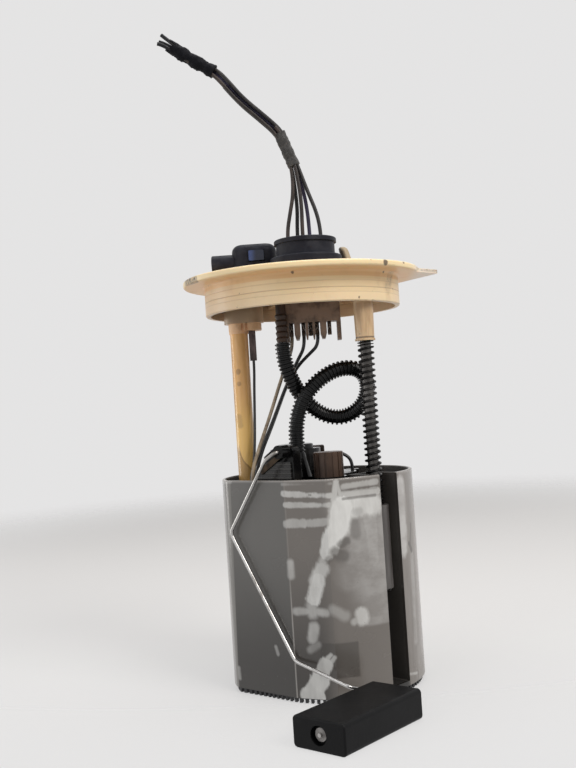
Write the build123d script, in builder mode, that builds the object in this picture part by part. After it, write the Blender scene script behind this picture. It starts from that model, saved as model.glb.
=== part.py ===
"""Fuel pump module: a spring-loaded tank flange on two guides, over a reservoir cup with pump, filter and level sender.

Millimetres. Origin on the ground under the middle of the cup, +Z up, the float arm and the rod's slot towards -Y.
"""
from build123d import *
import os
from math import atan2, cos, degrees, pi, radians, sin, sqrt, tan

os.makedirs("parts", exist_ok=True)

# ---------------------------------------------------------------- driving dimensions
# Reservoir cup
cup_radius = 54.5
cup_wall = 2.2
cup_floor = 2.5
foot_height = 3.0            # toothed foot under the cup
cup_rim_z = 118.2
panel_azimuth = -129.0       # outward direction of the cup's flat panel
panel_offset = 46.2          # flat panel to the cup's axis
crease_along = 14.4          # where the flat panel turns into the short facet
facet_azimuth = -86.0        # where the short facet meets the round wall
round_wall_azimuth = 50.0    # a place on the round wall, away from the flats
corner_round = 7.0
crease_round = 1.5
rim_round = 0.6

# Toothed foot
foot_inset = 1.6
foot_band = 2.6
tooth_count = 90
tooth_gap = 1.8
tooth_height = 2.2
foot_pad_radius = 9.0
spoke_count = 6
spoke_width = 4.0

# Guide rod with its slot and sleeve
rod_azimuth = -44.8
rod_ring_radius = 44.0       # rod axis to the cup's axis
rod_radius = 3.0
rod_fit = 0.08               # radial clearance in the sleeve
slot_width = 13.8
slot_back_radius = 34.4      # back of the slot to the cup's axis
sleeve_radius = 6.7
sleeve_bottom_z = 56.0
sleeve_below_rim = 17.2
sleeve_web = 4.0
rod_end_below_sleeve = 4.0
clip_gap = 0.3
rod_clip_thickness = 1.2
rod_clip_radius = 5.4
rod_groove_depth = 0.6
rod_clip_fit = 0.05
spring_rod_gap = 0.4
spring_wire = 1.2
spring_wire_sides = 8        # the wire's section, kept light
spring_turns = 28
spring_end_gap = 0.1

# Guide tube
tube_x, tube_y = -40.8, 14.0
tube_radius = 5.3
tube_wall = 1.5
tube_bottom_z = 56.0
tube_seat_depth = 17.0       # how far the tube goes up into its boss
tube_fit = 0.25
tube_guide_wall = 1.8
tube_guide_top_z = 100.0
tube_guide_web = 5.0

# Flange
flange_x = -2.0
lip_radius = 68.0
lip_thickness = 3.6
lip_top_z = 232.0
lip_round = 1.2
skirt_radius = 56.0
skirt_wall = 2.8
skirt_depth = 16.9           # below the lip's underside
skirt_root_round = 1.6
skirt_edge_chamfer = 0.5
skirt_top_drop = 2.4         # top of the skirt's ring below the lip's underside
deck_drop = 1.4              # deck top below the lip's top
deck_thickness = 3.2
tab_reach = 79.0             # pointer tab's tip to the flange's axis
tab_azimuth = -2.0
tab_near_azimuth, tab_far_azimuth = -16.0, 28.0    # where the tab's two sides leave the lip
tab_thickness = 2.2
tab_tip_round = 1.0
under_rib_height = 7.5
under_rib_thickness = 1.6
under_rib_inner = 34.0
under_rib_gap = 0.1          # the ribs' ends to the skirt's ring
under_rib_azimuths = (8, 36, 62, 88, 114, 188, 214, 284)
top_rib_height = 1.3
top_ring_radius = 47.0
top_rib_count = 24
top_rib_inner = 38.0

# Bosses under the flange
rod_boss_top_radius = 5.8
rod_boss_radius = 5.1
rod_boss_drop = 36.6         # below the deck's underside, like the next ones
rod_seat_depth = 31.0
rod_boss_bead = 0.5
tube_boss_x = -37.4
tube_boss_length = 23.4
tube_boss_width = 16.0
tube_boss_drop = 19.2
tube_clip_length = 19.6
tube_clip_width = 13.4
tube_clip_thickness = 4.4
tube_clip_collar_wall = 0.45
tube_clip_collar_drop = 1.6   # the clip's collar round the tube, below the clip
tube_clip_x = -36.9
clip_nib_width = 1.2         # snap nib on the clip's front, a slot on each side
clip_nib_depth = 1.0

# Terminals between plug and loose wires
terminal_x = (-9.1, -2.2, 1.8, 5.7, 12.7)
terminal_y = -7.0
block_left_x, block_right_x = -12.6, 19.2
block_depth = 10.0
block_drop = 22.8
block_wall = 2.3
block_wall_drop = 33.6
divider_x = (-5.7, -0.2, 3.75, 9.2)
divider_widths = (3.4, 1.6, 1.6, 3.6)
divider_drop = 32.4
divider_tip = 3.0
pin_width, pin_depth = 1.5, 0.8
pin_fit = 0.05
crimp_width = 2.3
crimp_length = 7.6

# Plug on top of the flange
plug_x, plug_y = 1.8, -6.0
plug_radius = 16.8
plug_wall = 2.4
plug_rim_radius = 17.9
plug_rim_height = 2.6
plug_rim_round = 0.8
plug_height = 21.8           # above the deck
plug_roof = 5.0
plug_collar_radius = 20.6
plug_collar_height = 11.4
plug_collar_round = 1.2
plug_seat_gap = 0.4
socket_radius = 13.9
socket_wall = 1.8
socket_height = 9.0
pin_reach = 7.0              # contact pins above the deck
latch_length, latch_width, latch_height = 4.0, 8.0, 3.6
latch_travel = 1.2
latch_fit = 0.25

# Supply connector
connector_x, connector_y = -28.8, 16.0
connector_length, connector_width = 26.4, 17.0
connector_corner = 7.5
connector_height = 24.4      # above the deck, like the next two
connector_round = 4.5
connector_seat_gap = 0.4
spigot_radius = 3.95
spigot_bore_radius = 2.2
spigot_bead = 0.7
spigot_bead_drop = 5.0       # bead below the spigot's tip
spigot_height = 16.0
spigot_fit = 0.3
barrel_radius = 5.4
barrel_rise = 14.0
barrel_reach = 25.6          # barrel's end to the spigot's axis
barrel_bore_radius = 3.0
barrel_bore_depth = 11.0
barrel_round = 0.8
button_width, button_height, button_depth = 9.0, 6.0, 3.4
button_rise = 16.8
button_shift = 1.6           # button right of the spigot's axis
button_travel = 1.6
button_fit = 0.3
button_round = 0.6

# Vent nozzle
vent_x, vent_y = 27.0, 10.0
vent_radius = 3.3
vent_bore_radius = 1.8
vent_rise = 6.0
vent_length = 10.0
vent_tilt = 42.0             # from upright, towards -X

# Outlet nipple and corrugated hose
nipple_x, nipple_y = -14.4, -17.0
nipple_radius = 2.9
nipple_barb = 0.7
nipple_barb_count = 5
nipple_barb_pitch = 3.2
nipple_drop = 33.8           # below the deck's underside
hose_radius = 4.5
hose_seat_gap = 0.3

# Canister: fine filter around the pump
canister_x, canister_y = -5.0, 4.0
canister_wall = 2.0
canister_bottom_z = 14.0
canister_top_z = 108.0
canister_foot_radius = 3.0
canister_foot_count = 4
canister_foot_inset = 0.5
canister_foot_azimuth = 45.0
element_pump_gap = 1.4
element_depth = 4.6          # radial depth of the pleated ring
element_canister_gap = 1.0
element_pleats = 30
element_margin = 6.0
pump_radius = 19.0
pump_neck_radius = 15.0
pump_end_height = 6.0
pump_inlet_radius = 5.0
isolator_height = 5.0
strainer_foot_gap = 1.5       # strainer to the canister's feet
strainer_height = 5.0
strainer_round = 2.0
strainer_gap = 0.4

# Canister lid
lid_plate_height = 10.0
lid_steps = ((18.5, 129.2), (14.5, 132.9), (10.5, 135.6))
lid_step_x, lid_step_y = -11.5, 3.0
lid_step_round = 1.0
head_nipple_x, head_nipple_y = -10.0, -18.0
head_nipple_base_radius = 7.4
head_nipple_radius = 4.2
head_nipple_top_z = 131.6
lug_x, lug_y = 21.5, 20.0
lug_size = 7.0
lug_height = 6.0

# Connector, regulator
pump_plug_x, pump_plug_y = 0.0, 20.0
pump_plug_length, pump_plug_width = 11.0, 11.0
pump_plug_top_z = 133.4
regulator_x, regulator_y = 6.8, -30.8
regulator_radius = 8.2
regulator_bottom_z = 96.0
regulator_top_z = 131.5
regulator_flute_count = 14
regulator_flute_depth = 0.4
regulator_flute_width = 1.0
regulator_can_radius = 6.2
regulator_can_length = 16.0
regulator_can_flange = 1.2
regulator_port_radius = 2.0
regulator_ring_fit = 0.1
regulator_ring_wall = 1.2
regulator_ring_height = 8.0
regulator_arm_width = 11.0

# Level sender
arm_offset = 48.6            # arm's plane to the cup's axis
arm_wire = 2.0
pivot_along = 11.7
pivot_above_rim = 15.2
arm_over_rim = (-7.7, -4.2)  # bends of the arm's wire, along the panel and up from the pivot
arm_elbow = (-36.5, -44.0)
arm_shin = (5.1, -110.3)
arm_heel = (38.9, -119.8)
arm_toe = (40.9, -124.6)
arm_heel_lean = 1.6          # heel nearer to the cup than the arm's plane
arm_behind_float = 3.0
arm_bends = (2.1, 8.0, 5.0, 6.0, 3.0, 3.0, 2.8)
sender_left, sender_right = -14.0, 16.4
sender_bottom_z = 88.0
sender_above_rim = 18.0
sender_back, sender_front = 33.4, 39.4
sender_round = 4.0
sender_leg = 5.0
card_thickness = 0.8
card_left, card_right = -9.0, 14.8
card_bottom_z = 100.0
card_above_rim = 9.4
hub_radius = 3.6
hub_disc = 1.5
hub_front = 46.4
hub_gap = 0.3
hub_pin_radius = 2.2
hub_pin_fit = 0.08
hub_pin_depth = 4.0
wiper_length = 21.0
wiper_width = 3.0
wiper_thickness = 0.6
wiper_angle = 212.0          # direction of the wiper at rest, seen from outside
wiper_gap = 0.3
sender_plug_left = -24.0
sender_plug_back, sender_plug_front = 28.8, 38.0
sender_plug_bottom_z, sender_plug_top_z = 98.0, 112.0

# Float
float_from_pivot = (60.1, -125.6)    # the float's bore, along the panel and up from the pivot
float_near, float_far = 99.7, 36.7
float_width, float_height = 30.5, 15.0
float_round = 2.2
float_end_round = 0.9
float_bore_fit = 0.1
float_recess_radius = 4.6
float_recess_depth = 3.0
retainer_radius = 3.2
retainer_thickness = 0.8
wire_stub = 1.2

# Foot valve
valve_x, valve_y = 27.0, 31.5
valve_radius = 7.2
valve_disc = 1.0
valve_seat_gap = 0.05
valve_lift = 1.5
valve_lift_spare = 0.5
valve_port_radius = 2.2
valve_port_ring = 4.0
valve_port_count = 5
valve_pin_radius = 1.2
valve_pin_fit = 0.15
cage_wall = 1.2
cage_gap = 0.4
cage_roof = 1.0
cage_window_count = 4
cage_window_width = 5.0

# Wires and wraps
lead_radius = 1.0
ground_radius = 0.8
harness_radius = 1.1
bundle_radius = 2.1
tape_radius = 3.7
wrap_radius = 4.3
blade_width, blade_thickness = 4.0, 1.0
blade_tube_gap = 0.5
blade_length = 22.2          # below the tube's boss
blade_seat_depth = 10.0

# ---------------------------------------------------------------- values worked out from them
cup_floor_top_z = foot_height + cup_floor
sleeve_top_z = cup_rim_z - sleeve_below_rim
pivot_z = cup_rim_z + pivot_above_rim
sender_top_z = cup_rim_z + sender_above_rim
card_top_z = cup_rim_z + card_above_rim
float_along = pivot_along + float_from_pivot[0]
float_z = pivot_z + float_from_pivot[1]
deck_top_z = lip_top_z - deck_drop
deck_bottom_z = deck_top_z - deck_thickness
lip_bottom_z = lip_top_z - lip_thickness
skirt_bottom_z = lip_bottom_z - skirt_depth
skirt_top_z = lip_bottom_z - skirt_top_drop
rod_boss_bottom_z = deck_bottom_z - rod_boss_drop
tube_boss_bottom_z = deck_bottom_z - tube_boss_drop
block_bottom_z = deck_bottom_z - block_drop
block_wall_bottom_z = deck_bottom_z - block_wall_drop
divider_bottom_z = deck_bottom_z - divider_drop
nipple_bottom_z = deck_bottom_z - nipple_drop
blade_bottom_z = tube_boss_bottom_z - blade_length
plug_top_z = deck_top_z + plug_height
connector_top_z = deck_top_z + connector_height
barrel_axis_z = deck_top_z + barrel_rise
button_z = deck_top_z + button_rise
rod_x = rod_ring_radius * cos(radians(rod_azimuth))
rod_y = rod_ring_radius * sin(radians(rod_azimuth))
sleeve_bore = rod_radius + rod_fit
rod_bottom_z = sleeve_bottom_z - rod_end_below_sleeve
spring_outer_radius = rod_radius + spring_rod_gap + spring_wire
blade_x = tube_x + tube_radius + blade_tube_gap + blade_width / 2
element_inner_radius = pump_radius + element_pump_gap
element_outer_radius = element_inner_radius + element_depth
canister_radius = element_outer_radius + element_canister_gap + canister_wall
canister_foot_ring = canister_radius - canister_foot_radius - canister_foot_inset
strainer_radius = canister_foot_ring - canister_foot_radius - strainer_foot_gap
rod_clip_top_z = sleeve_bottom_z - clip_gap
tube_guide_radius = tube_radius + tube_fit + tube_guide_wall
lid_bottom_z = canister_top_z
lid_plate_top_z = lid_bottom_z + lid_plate_height
pump_bottom_z = canister_bottom_z + canister_wall + isolator_height
strainer_top_z = canister_bottom_z - strainer_gap
panel_start = -sqrt(cup_radius ** 2 - panel_offset ** 2)

panel = Plane(
    origin=(0, 0, 0),
    x_dir=(-sin(radians(panel_azimuth)), cos(radians(panel_azimuth)), 0),
    z_dir=(cos(radians(panel_azimuth)), sin(radians(panel_azimuth)), 0),
)                            # local x runs along the flat panel, local y is up, local z points outwards


def level(z):
    """Horizontal plane at height z."""
    return Plane.XY.offset(z)


def finish(builder, label):
    """Name a finished piece and write it."""
    builder.part.label = label
    export_step(builder.part, f"parts/{label}.step")


# ---------------------------------------------------------------- reservoir cup
facet_x = cup_radius * cos(radians(facet_azimuth))
facet_y = cup_radius * sin(radians(facet_azimuth))
round_wall_x = cup_radius * cos(radians(round_wall_azimuth))
round_wall_y = cup_radius * sin(radians(round_wall_azimuth))
panel_left = panel.from_local_coords(Vector(panel_start, 0, panel_offset))
crease = panel.from_local_coords(Vector(crease_along, 0, panel_offset))

with BuildSketch() as cup_outline:
    with BuildLine():
        Line((panel_left.X, panel_left.Y), (crease.X, crease.Y))
        Line((crease.X, crease.Y), (facet_x, facet_y))
        ThreePointArc((facet_x, facet_y), (round_wall_x, round_wall_y), (panel_left.X, panel_left.Y))
    make_face()
    fillet(cup_outline.vertices().sort_by_distance((panel_left.X, panel_left.Y))[0], corner_round)
    fillet(cup_outline.vertices().sort_by_distance((crease.X, crease.Y))[0], crease_round)

with BuildSketch() as cup_cavity:
    add(cup_outline.sketch)
    offset(amount=-cup_wall)
    slot_block = cup_radius - slot_back_radius + cup_wall
    with PolarLocations(cup_radius - slot_block / 2, 1, start_angle=rod_azimuth):
        Rectangle(slot_block, slot_width + 2 * cup_wall, mode=Mode.SUBTRACT)

with BuildSketch() as tube_guide_section:
    with Locations((tube_x, tube_y)):
        Circle(tube_guide_radius)
    tube_azimuth = degrees(atan2(tube_y, tube_x))
    web_reach = cup_radius - sqrt(tube_x ** 2 + tube_y ** 2) - cup_wall / 2
    with PolarLocations(cup_radius - cup_wall / 2 - web_reach / 2, 1, start_angle=tube_azimuth):
        Rectangle(web_reach, tube_guide_web)

with BuildPart() as reservoir_cup:
    with BuildSketch(level(foot_height)):
        add(cup_outline.sketch)
    extrude(amount=cup_floor)
    with BuildSketch(level(cup_floor_top_z)):
        add(cup_outline.sketch)
        add(cup_cavity.sketch, mode=Mode.SUBTRACT)
        with PolarLocations((slot_back_radius + lip_radius) / 2, 1, start_angle=rod_azimuth):
            Rectangle(lip_radius - slot_back_radius, slot_width, mode=Mode.SUBTRACT)
    extrude(amount=cup_rim_z - cup_floor_top_z)
    fillet(reservoir_cup.edges().group_by(Axis.Z)[-1], rim_round)
    with BuildSketch(level(cup_floor_top_z)):
        add(tube_guide_section.sketch)
        with Locations((tube_x, tube_y)):
            Circle(tube_radius + tube_fit, mode=Mode.SUBTRACT)
    extrude(amount=tube_guide_top_z - cup_floor_top_z)
    with BuildSketch(level(cup_floor_top_z)):
        with Locations((valve_x, valve_y)):
            with PolarLocations(valve_port_ring, valve_port_count):
                Circle(valve_port_radius)
    extrude(amount=-cup_floor, mode=Mode.SUBTRACT)
finish(reservoir_cup, "reservoir_cup")

with BuildPart() as rod_guide_sleeve:
    with BuildSketch(level(sleeve_bottom_z)):
        with Locations((rod_x, rod_y)):
            Circle(sleeve_radius)
        with PolarLocations((slot_back_radius + rod_ring_radius) / 2, 1, start_angle=rod_azimuth):
            Rectangle(rod_ring_radius - slot_back_radius, sleeve_web)
        with Locations((rod_x, rod_y)):
            Circle(sleeve_bore, mode=Mode.SUBTRACT)
    extrude(amount=sleeve_top_z - sleeve_bottom_z)
finish(rod_guide_sleeve, "rod_guide_sleeve")

with BuildPart() as foot_ring:
    with BuildSketch(level(0)):
        add(cup_outline.sketch)
        offset(amount=-foot_inset)
        with BuildSketch(mode=Mode.PRIVATE) as foot_inside:
            add(cup_outline.sketch)
            offset(amount=-foot_inset - foot_band)
        add(foot_inside.sketch, mode=Mode.SUBTRACT)
    extrude(amount=foot_height)
    with BuildSketch(level(0)):
        with PolarLocations(panel_offset, tooth_count):
            Rectangle(cup_radius / 2, tooth_gap)
    extrude(amount=tooth_height, mode=Mode.SUBTRACT)
    with BuildSketch(level(tooth_height)):
        with PolarLocations((foot_pad_radius + panel_offset - foot_inset) / 2, spoke_count,
                            start_angle=panel_azimuth):
            Rectangle(panel_offset - foot_inset - foot_pad_radius + foot_band / 2, spoke_width)
    extrude(amount=foot_height - tooth_height)
    with BuildSketch(level(0)):
        Circle(foot_pad_radius)
    extrude(amount=foot_height)
finish(foot_ring, "foot_ring")

# Foot valve: a loose disc over the ports, kept by a windowed cage
cage_radius = valve_radius + cage_gap + cage_wall
cage_inside = valve_seat_gap + valve_disc + valve_lift + valve_lift_spare

with BuildPart() as valve_cage:
    with BuildSketch(level(cup_floor_top_z)):
        with Locations((valve_x, valve_y)):
            Circle(cage_radius)
    extrude(amount=cage_inside + cage_roof)
    with BuildSketch(level(cup_floor_top_z)):
        with Locations((valve_x, valve_y)):
            Circle(valve_radius + cage_gap)
    extrude(amount=cage_inside, mode=Mode.SUBTRACT)
    with BuildSketch(level(cup_floor_top_z)):
        with Locations((valve_x, valve_y)):
            with PolarLocations(cage_radius, cage_window_count):
                Rectangle(cage_radius, cage_window_width)
            Circle(valve_port_ring, mode=Mode.SUBTRACT)
    extrude(amount=cage_inside + cage_roof, mode=Mode.SUBTRACT)
    with BuildSketch(level(cup_floor_top_z)):
        with Locations((valve_x, valve_y)):
            Circle(valve_pin_radius)
    extrude(amount=cage_inside + cage_roof)
finish(valve_cage, "valve_cage")

with BuildPart() as valve_disc_part:
    with BuildSketch(level(cup_floor_top_z + valve_seat_gap)):
        with Locations((valve_x, valve_y)):
            Circle(valve_radius)
            Circle(valve_pin_radius + valve_pin_fit, mode=Mode.SUBTRACT)
    extrude(amount=valve_disc)
finish(valve_disc_part, "valve_disc")

# ---------------------------------------------------------------- canister, filter and pump
canister_spot = (canister_x, canister_y)

with BuildPart() as filter_canister:
    with BuildSketch(level(canister_bottom_z)):
        with Locations(canister_spot):
            Circle(canister_radius)
    extrude(amount=canister_top_z - canister_bottom_z)
    with BuildSketch(level(canister_bottom_z + canister_wall)):
        with Locations(canister_spot):
            Circle(canister_radius - canister_wall)
    extrude(amount=canister_top_z - canister_bottom_z - canister_wall, mode=Mode.SUBTRACT)
    with BuildSketch(level(canister_bottom_z)):
        with Locations(canister_spot):
            Circle(pump_inlet_radius)
    extrude(amount=canister_wall, mode=Mode.SUBTRACT)
    with BuildSketch(level(cup_floor_top_z)):
        with Locations(canister_spot):
            with PolarLocations(canister_foot_ring, canister_foot_count, start_angle=canister_foot_azimuth):
                Circle(canister_foot_radius)
    extrude(amount=canister_bottom_z - cup_floor_top_z)
finish(filter_canister, "filter_canister")

with BuildPart() as filter_element:
    with BuildSketch(level(canister_bottom_z + canister_wall)):
        with Locations(canister_spot):
            Circle(element_outer_radius)
            Circle(element_inner_radius, mode=Mode.SUBTRACT)
            with PolarLocations(element_outer_radius, element_pleats):
                RegularPolygon((element_outer_radius - element_inner_radius) / 2, 3, rotation=180,
                               mode=Mode.SUBTRACT)
    extrude(amount=canister_top_z - canister_bottom_z - canister_wall - element_margin)
finish(filter_element, "filter_element")

with BuildPart() as pump_isolator:
    with BuildSketch(level(canister_bottom_z + canister_wall)):
        with Locations(canister_spot):
            Circle(pump_radius)
            Circle(pump_inlet_radius, mode=Mode.SUBTRACT)
    extrude(amount=isolator_height)
finish(pump_isolator, "pump_isolator")

with BuildPart() as fuel_pump:
    with BuildSketch(level(pump_bottom_z)):
        with Locations(canister_spot):
            Circle(pump_neck_radius)
    extrude(amount=lid_bottom_z - pump_bottom_z)
    with BuildSketch(level(pump_bottom_z + pump_end_height)):
        with Locations(canister_spot):
            Circle(pump_radius)
    extrude(amount=lid_bottom_z - pump_bottom_z - 2 * pump_end_height)
    with BuildSketch(level(strainer_top_z)):
        with Locations(canister_spot):
            Circle(pump_inlet_radius - clip_gap)
    extrude(amount=pump_bottom_z - strainer_top_z)
finish(fuel_pump, "fuel_pump")

with BuildPart() as inlet_strainer:
    with BuildSketch(level(strainer_top_z - strainer_height)):
        with Locations(canister_spot):
            Circle(strainer_radius)
    extrude(amount=strainer_height)
    chamfer(inlet_strainer.edges(), strainer_round)
finish(inlet_strainer, "inlet_strainer")

with BuildPart() as canister_lid:
    with BuildSketch(level(lid_bottom_z)):
        with Locations(canister_spot):
            Circle(canister_radius)
    extrude(amount=lid_plate_height)
    step_bottom_z = lid_plate_top_z
    for step_radius, step_top_z in lid_steps:
        with BuildSketch(level(step_bottom_z)):
            with Locations((lid_step_x, lid_step_y)):
                Circle(step_radius)
        extrude(amount=step_top_z - step_bottom_z)
        step_bottom_z = step_top_z
    fillet(canister_lid.edges().filter_by(GeomType.CIRCLE).group_by(Axis.Z)[-1], lid_step_round)
    with BuildSketch(level(lid_plate_top_z)):
        with Locations((pump_plug_x, pump_plug_y)):
            Rectangle(pump_plug_length, pump_plug_width)
    extrude(amount=lid_steps[-1][1] - lid_plate_top_z, mode=Mode.SUBTRACT)
    with BuildSketch(level(lid_plate_top_z)):
        with Locations((head_nipple_x, head_nipple_y)):
            Circle(head_nipple_base_radius)
    with BuildSketch(level(head_nipple_top_z)):
        with Locations((head_nipple_x, head_nipple_y)):
            Circle(head_nipple_radius)
    loft()
    with BuildSketch(level(lid_plate_top_z - lug_height)):
        with Locations((lug_x, lug_y)):
            Rectangle(lug_size, lug_size)
        with Locations(((lug_x + canister_x) / 2, lug_y - lug_size / 4)):
            Rectangle(lug_x - canister_x, lug_size / 2)
    extrude(amount=lug_height)
    regulator_bearing = degrees(atan2(regulator_y - canister_y, regulator_x - canister_x))
    with BuildSketch(level(lid_plate_top_z - regulator_ring_height)):
        with Locations((regulator_x, regulator_y)):
            Circle(regulator_radius + regulator_ring_fit + regulator_ring_wall)
        with Locations(((regulator_x + canister_x) / 2, (regulator_y + canister_y) / 2)):
            Rectangle(canister_radius, regulator_arm_width, rotation=regulator_bearing)
        with Locations((regulator_x, regulator_y)):
            Circle(regulator_radius + regulator_ring_fit, mode=Mode.SUBTRACT)
    extrude(amount=regulator_ring_height)
finish(canister_lid, "canister_lid")

with BuildPart() as pump_connector:
    with BuildSketch(level(lid_plate_top_z)):
        with Locations((pump_plug_x, pump_plug_y)):
            RectangleRounded(pump_plug_length, pump_plug_width, lid_step_round)
    extrude(amount=pump_plug_top_z - lid_plate_top_z)
    fillet(pump_connector.edges().group_by(Axis.Z)[-1], lid_step_round)
finish(pump_connector, "pump_connector")

# Pressure regulator in its brown fluted holder, carried by an arm from the canister's lid
with BuildPart() as regulator_housing:
    with BuildSketch(level(regulator_bottom_z)):
        with Locations((regulator_x, regulator_y)):
            Circle(regulator_radius)
    extrude(amount=regulator_top_z - regulator_bottom_z)
    chamfer(regulator_housing.edges().group_by(Axis.Z)[-1], regulator_flute_depth)
    with BuildSketch(level(lid_plate_top_z)):
        with Locations((regulator_x, regulator_y)):
            with PolarLocations(regulator_radius, regulator_flute_count):
                Rectangle(2 * regulator_flute_depth, regulator_flute_width)
    extrude(amount=regulator_top_z - lid_plate_top_z, mode=Mode.SUBTRACT)
    with BuildSketch(level(regulator_bottom_z)):
        with Locations((regulator_x, regulator_y)):
            Circle(regulator_can_radius)
    extrude(amount=regulator_can_length, mode=Mode.SUBTRACT)
finish(regulator_housing, "regulator_housing")

with BuildPart() as pressure_regulator:
    with BuildSketch(level(regulator_bottom_z)):
        with Locations((regulator_x, regulator_y)):
            Circle(regulator_can_radius)
    extrude(amount=regulator_can_length)
    with BuildSketch(level(regulator_bottom_z - regulator_can_flange)):
        with Locations((regulator_x, regulator_y)):
            Circle(regulator_can_radius + regulator_can_flange)
    extrude(amount=regulator_can_flange)
    with BuildSketch(level(regulator_bottom_z - regulator_can_radius)):
        with Locations((regulator_x, regulator_y)):
            Circle(regulator_port_radius)
    extrude(amount=regulator_can_radius)
finish(pressure_regulator, "pressure_regulator")


# ---------------------------------------------------------------- level sender
def on_panel(along, z, out):
    """Point given along the flat panel, up, and out from the cup's axis."""
    return panel.from_local_coords(Vector(along, z, out))


sender_middle = (sender_left + sender_right) / 2
panel_inside = panel_offset - cup_wall
hub_back = sender_front + hub_gap
wiper_back = sender_front + card_thickness + wiper_gap

with BuildPart() as sender_housing:
    with BuildSketch(panel.offset(sender_back)):
        with Locations((sender_middle, (sender_bottom_z + sender_top_z) / 2)):
            RectangleRounded(sender_right - sender_left, sender_top_z - sender_bottom_z, sender_round)
    extrude(amount=sender_front - sender_back)
    with BuildSketch(panel.offset(sender_front)):
        with Locations((sender_left + sender_leg / 2, sender_bottom_z + sender_round + sender_leg / 2),
                       (crease_along - sender_leg, sender_bottom_z + sender_round + sender_leg / 2)):
            Rectangle(sender_leg, sender_leg)
    extrude(amount=panel_inside - sender_front)
    with BuildSketch(panel.offset(sender_front)):
        with Locations((pivot_along, pivot_z)):
            Circle(hub_pin_radius + hub_pin_fit)
    extrude(amount=-hub_pin_depth, mode=Mode.SUBTRACT)
finish(sender_housing, "sender_housing")

with BuildPart() as resistor_card:
    with BuildSketch(panel.offset(sender_front)):
        with Locations(((card_left + card_right) / 2, (card_bottom_z + card_top_z) / 2)):
            Rectangle(card_right - card_left, card_top_z - card_bottom_z)
    extrude(amount=card_thickness)
finish(resistor_card, "resistor_card")

with BuildPart() as sender_plug:
    with BuildSketch(level(sender_plug_bottom_z)):
        with BuildLine():
            Polyline(*[(corner.X, corner.Y) for corner in (
                on_panel(sender_plug_left, 0, sender_plug_back), on_panel(sender_left, 0, sender_plug_back),
                on_panel(sender_left, 0, sender_plug_front), on_panel(sender_plug_left, 0, sender_plug_front),
            )], close=True)
        make_face()
    extrude(amount=sender_plug_top_z - sender_plug_bottom_z)
finish(sender_plug, "sender_plug")

with BuildPart() as contact_wiper:
    with BuildSketch(panel.offset(wiper_back)):
        with Locations((pivot_along, pivot_z)):
            with PolarLocations(wiper_length / 2, 1, start_angle=wiper_angle):
                Rectangle(wiper_length, wiper_width)
    extrude(amount=wiper_thickness)
finish(contact_wiper, "contact_wiper")

with BuildPart() as wiper_hub:
    with BuildSketch(panel.offset(hub_back)):
        with Locations((pivot_along, pivot_z)):
            Circle(hub_radius)
    extrude(amount=hub_front - hub_back)
    with BuildSketch(panel.offset(hub_back)):
        with Locations((pivot_along, pivot_z)):
            Circle(hub_pin_radius)
    extrude(amount=-(hub_pin_depth - hub_gap))
    with BuildSketch(panel.offset(hub_back + hub_disc + wiper_thickness)):
        with Locations((pivot_along, pivot_z)):
            Circle(arm_wire / 2)
    extrude(amount=hub_front - hub_back, mode=Mode.SUBTRACT)
    add(contact_wiper.part, mode=Mode.SUBTRACT)
finish(wiper_hub, "wiper_hub")

# The arm: one bent wire from the hub, over the rim, down outside the flat panel, round behind the float
# and back through its bore
retainer_out = float_near - float_recess_depth + clip_gap
arm_points = (
    (0, 0, hub_back + hub_disc + wiper_thickness),
    (0, 0, arm_offset),
    (*arm_over_rim, arm_offset),
    (*arm_elbow, arm_offset),
    (*arm_shin, arm_offset),
    (*arm_heel, arm_offset - arm_heel_lean),
    (*arm_toe, float_far - arm_behind_float),
    (*float_from_pivot, float_far - arm_behind_float),
    (*float_from_pivot, retainer_out + retainer_thickness + wire_stub),
)

with BuildPart() as float_arm:
    with BuildLine() as arm_route:
        FilletPolyline(*[on_panel(pivot_along + along, pivot_z + up, out) for along, up, out in arm_points],
                       radius=arm_bends)
    with BuildSketch(Plane(origin=arm_route.line @ 0, z_dir=arm_route.line % 0)):
        Circle(arm_wire / 2)
    sweep()
finish(float_arm, "float_arm")

with BuildPart() as float_block:
    with BuildSketch(panel.offset(float_far)):
        with Locations((float_along, float_z)):
            RectangleRounded(float_width, float_height, float_round)
    extrude(amount=float_near - float_far)
    outward = Axis((0, 0, 0), panel.z_dir)
    float_ends = float_block.faces().sort_by(outward)
    fillet(float_ends[0].edges() + float_ends[-1].edges(), float_end_round)
    with BuildSketch(panel.offset(float_far)):
        with Locations((float_along, float_z)):
            Circle(arm_wire / 2 + float_bore_fit)
    extrude(amount=float_near - float_far, mode=Mode.SUBTRACT)
    with BuildSketch(panel.offset(float_near)):
        with Locations((float_along, float_z)):
            Circle(float_recess_radius)
    extrude(amount=-float_recess_depth, mode=Mode.SUBTRACT)
finish(float_block, "float_block")

with BuildPart() as float_retainer:
    with BuildSketch(panel.offset(retainer_out)):
        with Locations((float_along, float_z)):
            Circle(retainer_radius)
            Circle(arm_wire / 2, mode=Mode.SUBTRACT)
    extrude(amount=retainer_thickness)
finish(float_retainer, "float_retainer")

# ---------------------------------------------------------------- guides between cup and flange
rod_spot = (rod_x, rod_y)
rod_top_z = rod_boss_bottom_z + rod_seat_depth
tube_top_z = tube_boss_bottom_z + tube_seat_depth
blade_top_z = tube_boss_bottom_z + blade_seat_depth

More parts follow.
